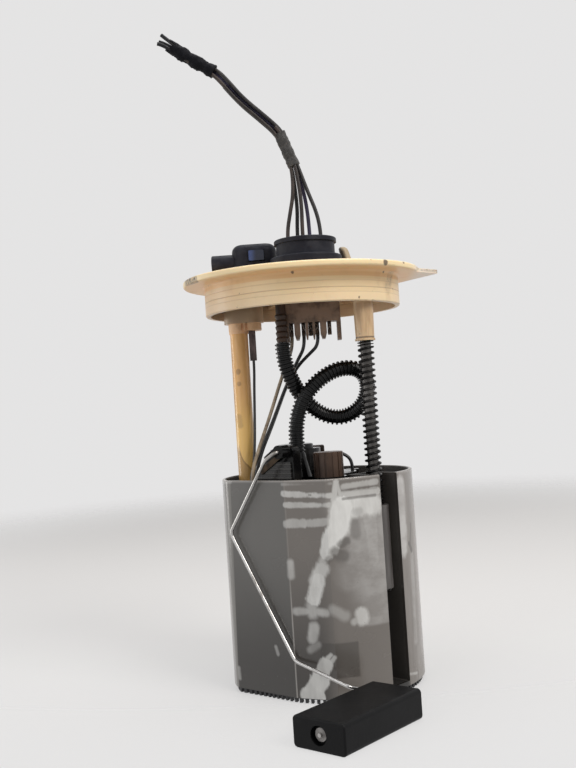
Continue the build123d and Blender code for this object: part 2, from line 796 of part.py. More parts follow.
with BuildPart() as guide_rod:
    with BuildSketch(level(rod_bottom_z)):
        with Locations(rod_spot):
            Circle(rod_radius)
    extrude(amount=rod_top_z - rod_bottom_z)
    chamfer(guide_rod.edges().group_by(Axis.Z)[0], rod_groove_depth)
    with BuildSketch(level(rod_clip_top_z)):
        with Locations(rod_spot):
            Circle(rod_radius)
            Circle(rod_radius - rod_groove_depth, mode=Mode.SUBTRACT)
    extrude(amount=-rod_clip_thickness, mode=Mode.SUBTRACT)
finish(guide_rod, "guide_rod")

with BuildPart() as rod_clip:
    with BuildSketch(level(rod_clip_top_z)):
        with Locations(rod_spot):
            Circle(rod_clip_radius)
            Circle(rod_radius - rod_groove_depth + rod_clip_fit, mode=Mode.SUBTRACT)
        with PolarLocations(rod_ring_radius + rod_clip_radius / 2, 1, start_angle=rod_azimuth):
            Rectangle(rod_clip_radius, rod_radius, mode=Mode.SUBTRACT)
    extrude(amount=-rod_clip_thickness)
finish(rod_clip, "rod_clip")

spring_bottom_z = sleeve_top_z + spring_wire / 2 + spring_end_gap
spring_height = rod_boss_bottom_z - sleeve_top_z - spring_wire - 2 * spring_end_gap
with BuildPart() as coil_spring:
    with BuildLine() as coil:
        Helix(pitch=spring_height / spring_turns, height=spring_height,
              radius=spring_outer_radius - spring_wire / 2, center=(rod_x, rod_y, spring_bottom_z))
    with BuildSketch(Plane(origin=coil.line @ 0, z_dir=coil.line % 0)):
        RegularPolygon(spring_wire / 2, spring_wire_sides)
    sweep(is_frenet=True)
finish(coil_spring, "coil_spring")

with BuildPart() as guide_tube:
    with BuildSketch(level(tube_bottom_z)):
        with Locations((tube_x, tube_y)):
            Circle(tube_radius)
            Circle(tube_radius - tube_wall, mode=Mode.SUBTRACT)
    extrude(amount=tube_top_z - tube_bottom_z)
finish(guide_tube, "guide_tube")

with BuildPart() as tube_clip:
    with BuildSketch(level(tube_boss_bottom_z - tube_clip_thickness)):
        with Locations((tube_clip_x, tube_y)):
            SlotOverall(tube_clip_length, tube_clip_width)
        with Locations((tube_x, tube_y)):
            Circle(tube_radius, mode=Mode.SUBTRACT)
        with Locations((blade_x, tube_y)):
            Rectangle(blade_width, blade_thickness, mode=Mode.SUBTRACT)
        with Locations((tube_clip_x - clip_nib_width, tube_y - tube_clip_width / 2),
                       (tube_clip_x + clip_nib_width, tube_y - tube_clip_width / 2)):
            Rectangle(clip_nib_width, 2 * clip_nib_depth, mode=Mode.SUBTRACT)
        with Locations((tube_clip_x, tube_y - tube_clip_width / 2)):
            Rectangle(clip_nib_width, 2 * clip_nib_depth)
    extrude(amount=tube_clip_thickness)
    with BuildSketch(level(tube_boss_bottom_z - tube_clip_thickness)):
        with Locations((tube_x, tube_y)):
            Circle(tube_radius + tube_clip_collar_wall)
            Circle(tube_radius, mode=Mode.SUBTRACT)
    extrude(amount=-tube_clip_collar_drop)
finish(tube_clip, "tube_clip")

with BuildPart() as ground_blade:
    with BuildSketch(level(blade_bottom_z)):
        with Locations((blade_x, tube_y)):
            Rectangle(blade_width, blade_thickness)
    extrude(amount=blade_top_z - blade_bottom_z)
finish(ground_blade, "ground_blade")

# ---------------------------------------------------------------- flange
skirt_inside = skirt_radius - skirt_wall
flange_axis = Axis((flange_x, 0, 0), (0, 0, 1))
block_middle_x = (block_left_x + block_right_x) / 2

block_spot = (block_middle_x, terminal_y)
tube_boss_spot = (tube_boss_x, tube_y)
plug_spot = (plug_x, plug_y)
connector_spot = (connector_x, connector_y)
vent_spot = (vent_x, vent_y)

with BuildPart() as flange_lid:
    with BuildSketch(Plane.XZ) as lid_profile:
        with BuildLine():
            Polyline(*[(flange_x + radius, z) for radius, z in (
                (0, deck_bottom_z), (skirt_inside, deck_bottom_z), (skirt_inside, skirt_top_z),
                (skirt_radius, skirt_top_z), (skirt_radius, lip_bottom_z), (lip_radius, lip_bottom_z),
                (lip_radius, lip_top_z), (skirt_radius, lip_top_z), (skirt_radius - deck_drop, deck_top_z),
                (0, deck_top_z),
            )], close=True)
        make_face()
        corners = lid_profile.vertices()
        fillet(corners.sort_by_distance((flange_x + lip_radius, lip_top_z))[0:1]
               + corners.sort_by_distance((flange_x + lip_radius, lip_bottom_z))[0:1], lip_round)
        corners = lid_profile.vertices()
        fillet(corners.sort_by_distance((flange_x + skirt_radius, lip_bottom_z))[0], skirt_root_round)
    revolve(axis=flange_axis)

    # pointer tab, thinner than the lip, its far side the longer one
    with BuildSketch(level(lip_bottom_z)) as tab:
        with BuildLine():
            Polyline(*[(flange_x + reach * cos(radians(azimuth)), reach * sin(radians(azimuth)))
                       for reach, azimuth in (
                           (lip_radius - lip_round, tab_near_azimuth), (tab_reach, tab_azimuth),
                           (lip_radius - lip_round, tab_far_azimuth), (skirt_radius, tab_azimuth),
                       )], close=True)
        make_face()
        fillet(tab.vertices().sort_by(Axis.X)[-1], tab_tip_round)
    extrude(amount=tab_thickness)

    # bosses underneath: a cone for the rod, an oblong for the tube and the blade
    with BuildSketch(level(rod_boss_bottom_z)):
        with Locations(rod_spot):
            Circle(rod_boss_radius)
    with BuildSketch(level(deck_bottom_z)):
        with Locations(rod_spot):
            Circle(rod_boss_top_radius)
    loft()
    with BuildSketch(level(rod_boss_bottom_z)):
        with Locations(rod_spot):
            Circle(rod_boss_radius + rod_boss_bead)
    extrude(amount=2 * rod_boss_bead)
    with BuildSketch(level(tube_boss_bottom_z)):
        with Locations(tube_boss_spot):
            SlotOverall(tube_boss_length, tube_boss_width)
    extrude(amount=deck_bottom_z - tube_boss_bottom_z)

    # stiffening ribs under and on the deck
    rib_middle = (under_rib_inner + skirt_inside) / 2
    for rib_azimuth in under_rib_azimuths:
        with BuildSketch(level(deck_bottom_z)):
            with Locations((flange_x, 0)):
                with PolarLocations(rib_middle, 1, start_angle=rib_azimuth):
                    Rectangle(skirt_inside - under_rib_inner - 2 * under_rib_gap, under_rib_thickness)
        extrude(amount=-under_rib_height)
    with BuildSketch(level(deck_top_z)):
        with Locations((flange_x, 0)):
            Circle(top_ring_radius + under_rib_thickness / 2)
            Circle(top_ring_radius - under_rib_thickness / 2, mode=Mode.SUBTRACT)
            with PolarLocations((top_rib_inner + skirt_inside) / 2, top_rib_count):
                Rectangle(skirt_inside - top_rib_inner, under_rib_thickness)
        for keep_out, keep_out_radius in ((rod_spot, rod_boss_top_radius), (connector_spot, barrel_reach),
                                          (vent_spot, 2 * vent_radius),
                                          (plug_spot, plug_collar_radius + under_rib_thickness)):
            with Locations(keep_out):
                Circle(keep_out_radius, mode=Mode.SUBTRACT)
    extrude(amount=top_rib_height)

    # seats for rod, tube, blade and contact pins
    with BuildSketch(level(rod_boss_bottom_z)):
        with Locations(rod_spot):
            Circle(rod_radius)
    extrude(amount=rod_seat_depth, mode=Mode.SUBTRACT)
    with BuildSketch(level(tube_boss_bottom_z)):
        with Locations((tube_x, tube_y)):
            Circle(tube_radius)
    extrude(amount=tube_seat_depth, mode=Mode.SUBTRACT)
    with BuildSketch(level(tube_boss_bottom_z)):
        with Locations((blade_x, tube_y)):
            Rectangle(blade_width, blade_thickness)
    extrude(amount=blade_seat_depth, mode=Mode.SUBTRACT)
    with BuildSketch(level(deck_bottom_z)):
        with Locations(*[(x, terminal_y) for x in terminal_x]):
            Rectangle(pin_width + 2 * pin_fit, pin_depth + 2 * pin_fit)
    extrude(amount=deck_thickness, mode=Mode.SUBTRACT)
finish(flange_lid, "flange_lid")

with BuildPart() as flange_skirt:
    with BuildSketch(Plane.XZ) as skirt_profile:
        with Locations((flange_x + (skirt_inside + skirt_radius) / 2, (skirt_bottom_z + skirt_top_z) / 2)):
            Rectangle(skirt_wall, skirt_top_z - skirt_bottom_z)
        chamfer(skirt_profile.vertices().sort_by_distance((flange_x + skirt_radius, skirt_bottom_z))[0],
                skirt_edge_chamfer)
    revolve(axis=flange_axis)
finish(flange_skirt, "flange_skirt")

# What is welded on the deck: the plug's socket, the supply spigot and the vent's elbow
with BuildPart() as plug_socket:
    with BuildSketch(level(deck_top_z)):
        with Locations(plug_spot):
            Circle(socket_radius)
            Circle(socket_radius - socket_wall, mode=Mode.SUBTRACT)
    extrude(amount=socket_height)
finish(plug_socket, "plug_socket")

with BuildPart() as supply_spigot:
    with BuildSketch(level(deck_top_z)):
        with Locations(connector_spot):
            Circle(spigot_radius)
    extrude(amount=spigot_height)
    with BuildSketch(level(deck_top_z + spigot_height - spigot_bead_drop)):
        with Locations(connector_spot):
            Circle(spigot_radius + spigot_bead)
    extrude(amount=2 * spigot_bead)
    with BuildSketch(level(deck_top_z + spigot_height)):
        with Locations(connector_spot):
            Circle(spigot_bore_radius)
    extrude(amount=-spigot_height, mode=Mode.SUBTRACT)
finish(supply_spigot, "supply_spigot")

vent_elbow = Vector(vent_x, vent_y, deck_top_z + vent_rise)
vent_direction = Vector(-sin(radians(vent_tilt)), 0, cos(radians(vent_tilt)))
with BuildPart() as vent_nozzle:
    with BuildSketch(Plane(origin=vent_elbow, z_dir=vent_direction)):
        Circle(vent_radius)
    extrude(amount=vent_length)
    with Locations(vent_elbow):
        Sphere(vent_radius)
    with BuildSketch(level(deck_top_z)):
        with Locations(vent_spot):
            Circle(vent_radius)
    extrude(amount=vent_rise)
    with BuildSketch(Plane(origin=vent_elbow + vent_direction * vent_length, z_dir=-vent_direction)):
        Circle(vent_bore_radius)
    extrude(amount=vent_length - vent_radius, mode=Mode.SUBTRACT)
finish(vent_nozzle, "vent_nozzle")

with BuildPart() as terminal_block:
    with BuildSketch(level(block_bottom_z)):
        with Locations(block_spot):
            Rectangle(block_right_x - block_left_x, block_depth)
    extrude(amount=deck_bottom_z - block_bottom_z)
    with BuildSketch(level(block_wall_bottom_z)):
        with Locations((block_left_x + block_wall / 2, terminal_y), (block_right_x - block_wall / 2, terminal_y)):
            Rectangle(block_wall, block_depth)
    extrude(amount=block_bottom_z - block_wall_bottom_z)
    for x, width in zip(divider_x, divider_widths):
        with BuildSketch(Plane.XZ.offset(-terminal_y - block_depth / 2)):
            with BuildLine():
                Polyline((x - width / 2, block_bottom_z), (x - width / 2, divider_bottom_z + divider_tip),
                         (x - width / 4, divider_bottom_z), (x + width / 4, divider_bottom_z),
                         (x + width / 2, divider_bottom_z + divider_tip), (x + width / 2, block_bottom_z),
                         close=True)
            make_face()
        extrude(amount=block_depth)
    with BuildSketch(level(block_bottom_z)):
        with Locations(*[(x, terminal_y) for x in terminal_x]):
            Rectangle(pin_width + 2 * pin_fit, pin_depth + 2 * pin_fit)
    extrude(amount=deck_bottom_z - block_bottom_z, mode=Mode.SUBTRACT)
finish(terminal_block, "terminal_block")

with BuildPart() as crimp_terminals:
    with BuildSketch(level(block_bottom_z)):
        with Locations(*[(x, terminal_y) for x in terminal_x]):
            Rectangle(pin_width, pin_depth)
    extrude(amount=deck_top_z + pin_reach - block_bottom_z)
    with BuildSketch(level(block_bottom_z)):
        with Locations(*[(x, terminal_y) for x in terminal_x]):
            RectangleRounded(crimp_width, crimp_width, crimp_width / 4)
    extrude(amount=-crimp_length)
finish(crimp_terminals, "crimp_terminals")

with BuildPart() as outlet_nipple:
    with BuildSketch(Plane.XZ.offset(-nipple_y)):
        barb_top_z = nipple_bottom_z + nipple_barb_count * nipple_barb_pitch
        with BuildLine():
            barbs = []
            for barb in range(nipple_barb_count):
                z = nipple_bottom_z + barb * nipple_barb_pitch
                barbs += [(nipple_x + nipple_radius, z),
                          (nipple_x + nipple_radius + nipple_barb, z + nipple_barb_pitch * 2 / 3)]
            Polyline((nipple_x, nipple_bottom_z), *barbs, (nipple_x + nipple_radius, barb_top_z),
                     (nipple_x + nipple_radius, deck_bottom_z), (nipple_x, deck_bottom_z), close=True)
        make_face()
    revolve(axis=Axis((nipple_x, nipple_y, 0), (0, 0, 1)))
finish(outlet_nipple, "outlet_nipple")

# ---------------------------------------------------------------- plug, its latch and the supply connector
plug_bottom_z = deck_top_z + plug_seat_gap
latch_x = plug_x + plug_radius + latch_travel + latch_fit + latch_length / 2
latch_z = plug_bottom_z + plug_collar_height / 2

with BuildPart() as connector_plug:
    with BuildSketch(level(plug_bottom_z)):
        with Locations(plug_spot):
            Circle(plug_collar_radius)
    extrude(amount=plug_collar_height)
    fillet(connector_plug.edges().group_by(Axis.Z)[-1], plug_collar_round)
    with BuildSketch(level(plug_bottom_z)):
        with Locations(plug_spot):
            Circle(plug_radius)
    extrude(amount=plug_top_z - plug_bottom_z)
    with BuildSketch(level(plug_top_z - plug_rim_height)):
        with Locations(plug_spot):
            Circle(plug_rim_radius)
    extrude(amount=plug_rim_height)
    fillet(connector_plug.edges().group_by(Axis.Z)[-1], plug_rim_round)
    with BuildSketch(level(plug_bottom_z)):
        with Locations(plug_spot):
            Circle(plug_radius - plug_wall)
    extrude(amount=plug_top_z - plug_roof - plug_bottom_z, mode=Mode.SUBTRACT)
    with BuildSketch(level(latch_z - latch_height / 2 - latch_fit)):
        with Locations((plug_x + plug_radius + plug_collar_radius / 2, plug_y)):
            Rectangle(plug_collar_radius, latch_width + 2 * latch_fit)
    extrude(amount=latch_height + 2 * latch_fit, mode=Mode.SUBTRACT)
finish(connector_plug, "connector_plug")

with BuildPart() as plug_latch:
    with BuildSketch(level(latch_z - latch_height / 2)):
        with Locations((latch_x, plug_y)):
            Rectangle(latch_length, latch_width)
    extrude(amount=latch_height)
    chamfer(plug_latch.edges().filter_by(Axis.Y).group_by(Axis.X)[-1], latch_fit * 2)
finish(plug_latch, "plug_latch")

connector_front_y = connector_y - connector_width / 2
connector_bottom_z = deck_top_z + connector_seat_gap
button_spot = (connector_x + button_shift, button_z)
with BuildPart() as supply_connector:
    with BuildSketch(level(connector_bottom_z)):
        with Locations(connector_spot):
            RectangleRounded(connector_length, connector_width, connector_corner)
    extrude(amount=connector_top_z - connector_bottom_z)
    fillet(supply_connector.faces().sort_by(Axis.Z)[-1].edges(), connector_round)
    with BuildSketch(Plane(origin=(connector_x - barrel_reach, connector_y, barrel_axis_z), z_dir=(1, 0, 0))):
        Circle(barrel_radius)
    extrude(amount=barrel_reach)
    fillet(supply_connector.faces().sort_by(Axis.X)[0].edges(), barrel_round)
    with BuildSketch(Plane(origin=(connector_x - barrel_reach, connector_y, barrel_axis_z), z_dir=(1, 0, 0))):
        Circle(barrel_bore_radius)
    extrude(amount=barrel_bore_depth, mode=Mode.SUBTRACT)
    with BuildSketch(level(connector_bottom_z)):
        with Locations(connector_spot):
            Circle(spigot_radius + spigot_bead + spigot_fit)
    extrude(amount=spigot_height, mode=Mode.SUBTRACT)
    with BuildSketch(Plane.XZ.offset(-connector_front_y)):
        with Locations(button_spot):
            Rectangle(button_width + 2 * button_fit, button_height + 2 * button_fit)
    extrude(amount=-button_depth, mode=Mode.SUBTRACT)
finish(supply_connector, "supply_connector")

with BuildPart() as release_button:
    with BuildSketch(Plane.XZ.offset(-connector_front_y - button_depth + button_travel + button_fit)):
        with Locations(button_spot):
            RectangleRounded(button_width, button_height, button_round)
    extrude(amount=button_depth)
finish(release_button, "release_button")


# ---------------------------------------------------------------- hose, leads and harness
def bend_radii(points):
    """For each corner of a route, the radius that its two runs allow."""
    spots = [Vector(*point) for point in points]
    radii = []
    for before, here, after in zip(spots, spots[1:], spots[2:]):
        arriving, leaving = here - before, after - here
        half_turn = radians(arriving.get_angle(leaving)) / 2
        radii.append(0.45 * min(arriving.length, leaving.length) / tan(half_turn))
    return radii


def make_cord(label, points, radius):
    """A plain tube along a route of straight runs and tangent arcs."""
    radii = bend_radii(points)
    with BuildPart() as cord:
        with BuildLine() as route:
            FilletPolyline(*points, radius=radii)
        with BuildSketch(Plane(origin=route.line @ 0, z_dir=route.line % 0)):
            Circle(radius)
        sweep()
    finish(cord, label)
    length = sum(edge.length for edge in route.edges())
    expected = pi * radius ** 2 * length
    print(f"{label}: length {length:.1f}, smallest bend {min(radii):.1f},",
          f"volume {cord.part.volume / expected:.4f} of section x length")


hose_top_z = nipple_bottom_z - hose_seat_gap
hose_points = (
    (nipple_x, nipple_y, hose_top_z), (nipple_x, nipple_y, 185.6), (-12.0, -14.4, 175.6), (-7.6, -10.6, 165.6),
    (-0.8, -7.6, 156.4), (7.4, -6.6, 150.8), (16.2, -7.0, 149.2), (24.2, -8.0, 152.0), (29.6, -9.5, 157.2),
    (32.2, -11.0, 164.6), (31.0, -12.0, 172.0), (26.8, -13.0, 176.2), (20.4, -14.5, 177.4),
    (13.0, -16.0, 176.0), (5.6, -17.5, 172.0), (-1.0, -18.8, 166.2), (-5.8, -19.5, 159.2),
    (-8.6, -19.4, 151.6), (-9.8, -18.8, 144.6), (head_nipple_x, head_nipple_y, 138.6),
    (head_nipple_x, head_nipple_y, head_nipple_top_z),
)
make_cord("corrugated_hose", hose_points, hose_radius)

crimp_bottom_z = block_bottom_z - crimp_length
make_cord("sender_lead_a", (
    (terminal_x[0], terminal_y, crimp_bottom_z), (terminal_x[0], terminal_y, 191.2), (-12.8, -5.4, 183.0),
    (-17.4, -4.6, 172.0), (-21.8, -4.8, 160.2), (-26.4, -6.2, 148.2), (-31.2, -9.2, 136.4),
    (-35.0, -13.0, 126.0), (-36.3, -15.2, 119.0), (-36.3, -15.2, sender_plug_top_z),
), lead_radius)
make_cord("sender_lead_b", (
    (terminal_x[1], terminal_y, crimp_bottom_z), (terminal_x[1], terminal_y, 191.0), (-6.4, -3.4, 184.2),
    (-11.6, -0.8, 174.8), (-17.4, 0.4, 163.0), (-22.8, -0.2, 150.6), (-28.6, -2.6, 138.4),
    (-34.4, -7.2, 127.0), (-37.2, -12.2, 118.8), (-37.2, -12.2, sender_plug_top_z),
), lead_radius)
make_cord("pump_lead", (
    (terminal_x[3], terminal_y, crimp_bottom_z), (terminal_x[3], terminal_y, 191.6), (0.6, -3.6, 187.2),
    (-7.0, 0.4, 180.6), (-14.2, 3.2, 169.8), (-19.6, 4.4, 157.4), (-25.0, 3.6, 145.0),
    (-30.4, 0.4, 133.6), (-33.4, -6.0, 124.0), (-34.3, -13.2, 117.4), (-34.3, -13.2, sender_plug_top_z),
), lead_radius)
make_cord("ground_lead", (
    (blade_x, tube_y, blade_bottom_z), (blade_x, tube_y, 180.4), (-33.6, 12.4, 170.0), (-34.2, 9.8, 154.0),
    (-34.8, 5.4, 138.4), (-35.8, -1.2, 125.4), (-35.6, -9.9, 117.6), (-35.6, -9.9, sender_plug_top_z),
), ground_radius)
make_cord("pump_loop_lead", (
    (pump_plug_x + pump_plug_length / 2, pump_plug_y, 128.6), (10.8, pump_plug_y, 128.6), (17.0, 20.2, 127.4),
    (lug_x, lug_y, 123.2), (lug_x, lug_y, lid_plate_top_z),
), lead_radius)

# Harness: five wires gathered by a tape, three of them on into a cloth wrap. Heights are above the plug's top.
bundle_points = ((-1.6, -6.0, 43.0), (-5.1, -6.0, 52.6), (-9.0, -6.0, 62.7))
tail_points = ((-18.3, -6.0, 72.1), (-30.3, -6.0, 83.4), (-37.8, -6.0, 93.3))
wrap_points = ((-44.3, -6.0, 100.8), (-57.7, -6.0, 108.7), (-71.0, -6.0, 119.2))
bundle_lean = radians(38)


def above_plug(point):
    """A harness point in the part's own frame."""
    return (point[0], point[1], plug_top_z + point[2])


def beside(point, turn):
    """A wire's own place round the bundle."""
    aside = bundle_radius * sin(radians(turn))
    return (point[0] + aside * cos(bundle_lean), point[1] + bundle_radius * cos(radians(turn)),
            point[2] + aside * sin(bundle_lean))


wire_rises = (
    ((11.1, -6.0, 0), (11.1, -6.0, 6.2), (9.4, -6.0, 16.0), (5.4, -6.0, 27.2)),
    ((4.8, -3.2, 0), (4.8, -3.2, 6.8), (4.3, -3.3, 18.0), (2.6, -3.8, 30.4)),
    ((0.8, -9.4, 0), (0.8, -9.4, 7.2), (1.2, -9.1, 19.0), (0.5, -8.5, 31.4)),
    ((-2.2, -4.4, 0), (-2.2, -4.4, 6.6), (-1.3, -4.4, 18.2), (-1.9, -4.6, 30.8)),
    ((-7.8, -8.2, 0), (-7.8, -8.2, 5.4), (-5.7, -7.9, 15.2), (-3.0, -7.6, 27.0)),
)
wire_turns = (90, 18, 162, 306, 234)
wire_tails = (
    (*tail_points, *wrap_points, (-75.2, -6.0, 123.2)),
    (*tail_points, *wrap_points, (-75.8, -5.2, 121.2)),
    ((-11.6, -6.0, 65.5),),
    tail_points,
    (*tail_points, *wrap_points, (-74.6, -7.0, 119.8)),
)
for number, (rise, turn, tail) in enumerate(zip(wire_rises, wire_turns, wire_tails), start=1):
    route = [*rise, *[beside(point, turn) for point in (*bundle_points, *tail)]]
    make_cord(f"harness_wire_{number}", [above_plug(point) for point in route], harness_radius)
make_cord("harness_tape", [above_plug(point) for point in bundle_points], tape_radius)
make_cord("harness_wrap", [above_plug(point) for point in wrap_points], wrap_radius)
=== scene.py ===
"""Fuel pump module: its looks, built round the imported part. Metres, in the part's own frame."""
from math import cos, pi, radians, sin, sqrt

import bmesh
import bpy
from mathutils import Matrix, Vector


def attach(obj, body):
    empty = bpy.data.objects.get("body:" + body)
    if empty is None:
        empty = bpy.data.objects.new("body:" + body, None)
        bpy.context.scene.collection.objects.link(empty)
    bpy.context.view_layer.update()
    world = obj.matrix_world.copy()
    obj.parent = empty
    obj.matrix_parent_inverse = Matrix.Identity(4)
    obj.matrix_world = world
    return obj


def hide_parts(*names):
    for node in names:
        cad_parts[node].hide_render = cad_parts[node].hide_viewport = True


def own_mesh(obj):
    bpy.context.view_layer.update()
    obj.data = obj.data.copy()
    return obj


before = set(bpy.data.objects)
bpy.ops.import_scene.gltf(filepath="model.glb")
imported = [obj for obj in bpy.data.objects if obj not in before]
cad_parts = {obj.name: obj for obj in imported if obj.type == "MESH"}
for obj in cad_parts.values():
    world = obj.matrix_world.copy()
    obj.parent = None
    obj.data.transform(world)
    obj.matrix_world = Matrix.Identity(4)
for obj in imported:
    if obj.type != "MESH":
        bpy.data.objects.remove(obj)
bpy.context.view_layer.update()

mm = 0.001


# ------------ reservoir cup
# A grey injection-moulded bucket with one flat side, a short facet and a slot for the rod. Its wall is glossy
# and wet with fuel, with pale dried smears on the front mixed with painted reflections, a painted reflection haze
# and a paler line down the crease. Painted highlights run down the left front and along the rim, painted
# reflection streaks lie right of the slot, and the facet right of the crease is painted lighter as lit. Painted
# shade darkens the inside, the slot, the lower left and a low patch of the front.
class Value:
    """The output of a node. A sum on it adds its Math node."""

    def __init__(self, finish, socket):
        self.finish, self.socket = finish, socket

    def maths(self, operation, first, second=0.0):
        return self.finish.node("Math", {"operation": operation}, {0: first, 1: second})

    def __add__(self, other):
        return self.maths("ADD", self, other)

    def __radd__(self, other):
        return self.maths("ADD", other, self)

    def __sub__(self, other):
        return self.maths("SUBTRACT", self, other)

    def __rsub__(self, other):
        return self.maths("SUBTRACT", other, self)

    def __mul__(self, other):
        return self.maths("MULTIPLY", self, other)

    def __rmul__(self, other):
        return self.maths("MULTIPLY", other, self)

    def __or__(self, other):
        return self.maths("MAXIMUM", self, other)

    def __abs__(self):
        return self.maths("ABSOLUTE", self)

    def wave(self, rate):
        return self.maths("SINE", self * rate)


class Finish:
    """A material whose nodes are written as sums. Sizes are in metres on the piece itself."""

    def __init__(self, name, kind=bpy.data.materials):
        self.material = kind.new(name)
        self.material.use_nodes = True
        self.tree = self.material.node_tree
        self.tree.nodes.clear()
        self.place = self.node("TexCoord", output="Object")
        self.x, self.y, self.z = (
            self.node("SeparateXYZ", sockets={0: self.place}, output=axis) for axis in "XYZ"
        )

    def node(self, kind, settings=None, sockets=None, output=0):
        """One node: its type, its settings, then what goes into its sockets."""
        made = self.tree.nodes.new("ShaderNode" + kind)
        for name, value in (settings or {}).items():
            setattr(made, name, value)
        for socket, value in (sockets or {}).items():
            if isinstance(value, Value):
                self.tree.links.new(value.socket, made.inputs[socket])
            else:
                made.inputs[socket].default_value = value
        return Value(self, made.outputs[output]) if len(made.outputs) else None

    def noise(self, size, detail=2.0, grain=0.5, stretch=(1, 1, 1)):
        """Soft noise round 0.5, in spots of about that size, drawn out along the stretched axes."""
        spread = self.node("Mapping", sockets={"Vector": self.place, "Scale": [1 / s for s in stretch]})
        return self.node("TexNoise", {}, {"Vector": spread, "Scale": 0.5 / size, "Detail": detail,
                                          "Roughness": grain})

    def cells(self, size):
        """Distance to scattered points, in spot sizes."""
        return self.node("TexVoronoi", {}, {"Vector": self.place, "Scale": 1 / size})

    def fade(self, value, low, high):
        """0 at low, 1 at high, smooth between; high may be the smaller one."""
        return self.node("MapRange", {"interpolation_type": "SMOOTHSTEP"},
                         {"Value": value, "From Min": low, "From Max": high})

    def patches(self, low, high, *grain):
        """Soft-edged patches of noise: 0 where it is under low, 1 where it is over high."""
        return self.fade(self.noise(*grain), low, high)

    def towards(self, way):
        """How far a place lies in a level direction."""
        return self.x * way[0] + self.y * way[1]

    def band(self, value, middle, half, soft):
        """1 within half of the middle, with soft edges."""
        return self.fade(abs(value - middle), half + soft, half)

    def spot(self, middle, radius, soft, wander=0.0):
        """1 near a point, given in millimetres like the next ones."""
        off = self.node("VectorMath", {"operation": "DISTANCE"},
                        {0: self.place, 1: Vector(middle) * mm}, "Value")
        return self.fade(off + wander, (radius + soft) * mm, radius * mm)

    def stroke(self, start, end, radius, soft, wander=0.0):
        """1 near the straight line between two points."""
        start, end = Vector(start) * mm, Vector(end) * mm
        along = end - start
        from_start = self.node("VectorMath", {"operation": "SUBTRACT"}, {0: self.place, 1: start})
        share = self.node("VectorMath", {"operation": "DOT_PRODUCT"},
                          {0: from_start, 1: along / along.length_squared}, "Value")
        share = self.node("Clamp", {}, {0: share})
        nearest = self.node("VectorMath", {"operation": "SCALE"}, {0: along, "Scale": share})
        off = self.node("VectorMath", {"operation": "DISTANCE"}, {0: from_start, 1: nearest}, "Value")
        return self.fade(off + wander, (radius + soft) * mm, radius * mm)

    def blend(self, factor, below, above):
        """One colour over another."""
        below, above = (c if isinstance(c, Value) else (*c, 1.0) for c in (below, above))
        return self.node("Mix", {"data_type": "RGBA"}, {0: factor, 6: below, 7: above}, 2)

    def layers(self, color, *above):
        """A colour under others, each given with the share in which it covers those before it."""
        for share, over in above:
            color = self.blend(share, color, over)
        return color

    def coat(self, color, roughness=0.5, metallic=0.0, relief=None, shine=0.5, film=(0.0, 0.03), more=None):
        """The shader. Colour, roughness and metal may vary. Relief is a height in metres, shine the specular
        level, and film the weight and roughness of a clear coat."""
        sockets = {"Base Color": color if isinstance(color, Value) else (*color, 1.0), "Roughness": roughness,
                   "Metallic": metallic, "Specular IOR Level": shine, "Coat Weight": film[0],
                   "Coat Roughness": film[1], **(more or {})}
        if relief is not None:
            sockets["Normal"] = self.node("Bump", {}, {"Strength": 1.0, "Distance": 1.0, "Height": relief})
        shader = self.node("BsdfPrincipled", {}, sockets)
        self.node("OutputMaterial", {}, {"Surface": shader})


def dress(finish, *names):
    """Carried-over parts keep their shape and get their finish."""
    for name in names:
        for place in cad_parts[name].material_slots:
            place.material = finish.material


def worn_finish(name, clean, worn, patches, rough, *, share=1.0, rougher=0.0, grain=None, height=0.0, metal=0.0,
                shine=0.5):
    """A finish of one colour, worn or stained in patches to a second one that may be rougher."""
    finish = Finish(name)
    wear = finish.patches(*patches)
    finish.coat(finish.blend(wear if share == 1 else wear * share, clean, worn),
                rough + wear * rougher if rougher else rough, metal,
                finish.noise(*grain) * height if grain else None, shine)
    return finish


panel_out, facet_out = Vector((-0.6293, -0.7771, 0)), Vector((-0.3975, -0.9176, 0))
slot_out, slot_along = (0.7096, -0.7046), (0.7046, 0.7096)
cup_radius, panel_offset, facet_offset = 54.5, 46.2, 48.38
grey = Finish("cup_grey")
cup_ripple = grey.noise(0.009, 2, 0.5, (1, 1, 2.4))
cup_fuzz = (grey.noise(0.005, 3, 0.6) - 0.5) * 0.0024 + (grey.noise(0.0016, 4, 0.7, (1, 1, 3)) - 0.5) * 0.004
cup_front = grey.fade(grey.y, 0.0, -0.006)


def on_cup(x, z):
    """The point of the cup's front, in millimetres, at a place across and a height."""
    on_panel = (panel_offset - panel_out.x * x) / panel_out.y
    on_facet = (facet_offset - facet_out.x * x) / facet_out.y
    return x, max(on_panel, on_facet, -sqrt(cup_radius ** 2 - x * x)), z


def cup_marks(strokes):
    """Marks brushed on the cup's front: the start's place across and height, the end's, then radius, soft edge
    and strength."""
    marks = None
    for start_x, start_z, end_x, end_z, radius, soft, strength in strokes:
        wander = cup_fuzz * min(1.0, 0.15 + radius / 4)
        mark = grey.stroke(on_cup(start_x, start_z), on_cup(end_x, end_z), radius * 0.9, soft * 2.2, wander) * strength
        marks = mark if marks is None else marks | mark
    return marks
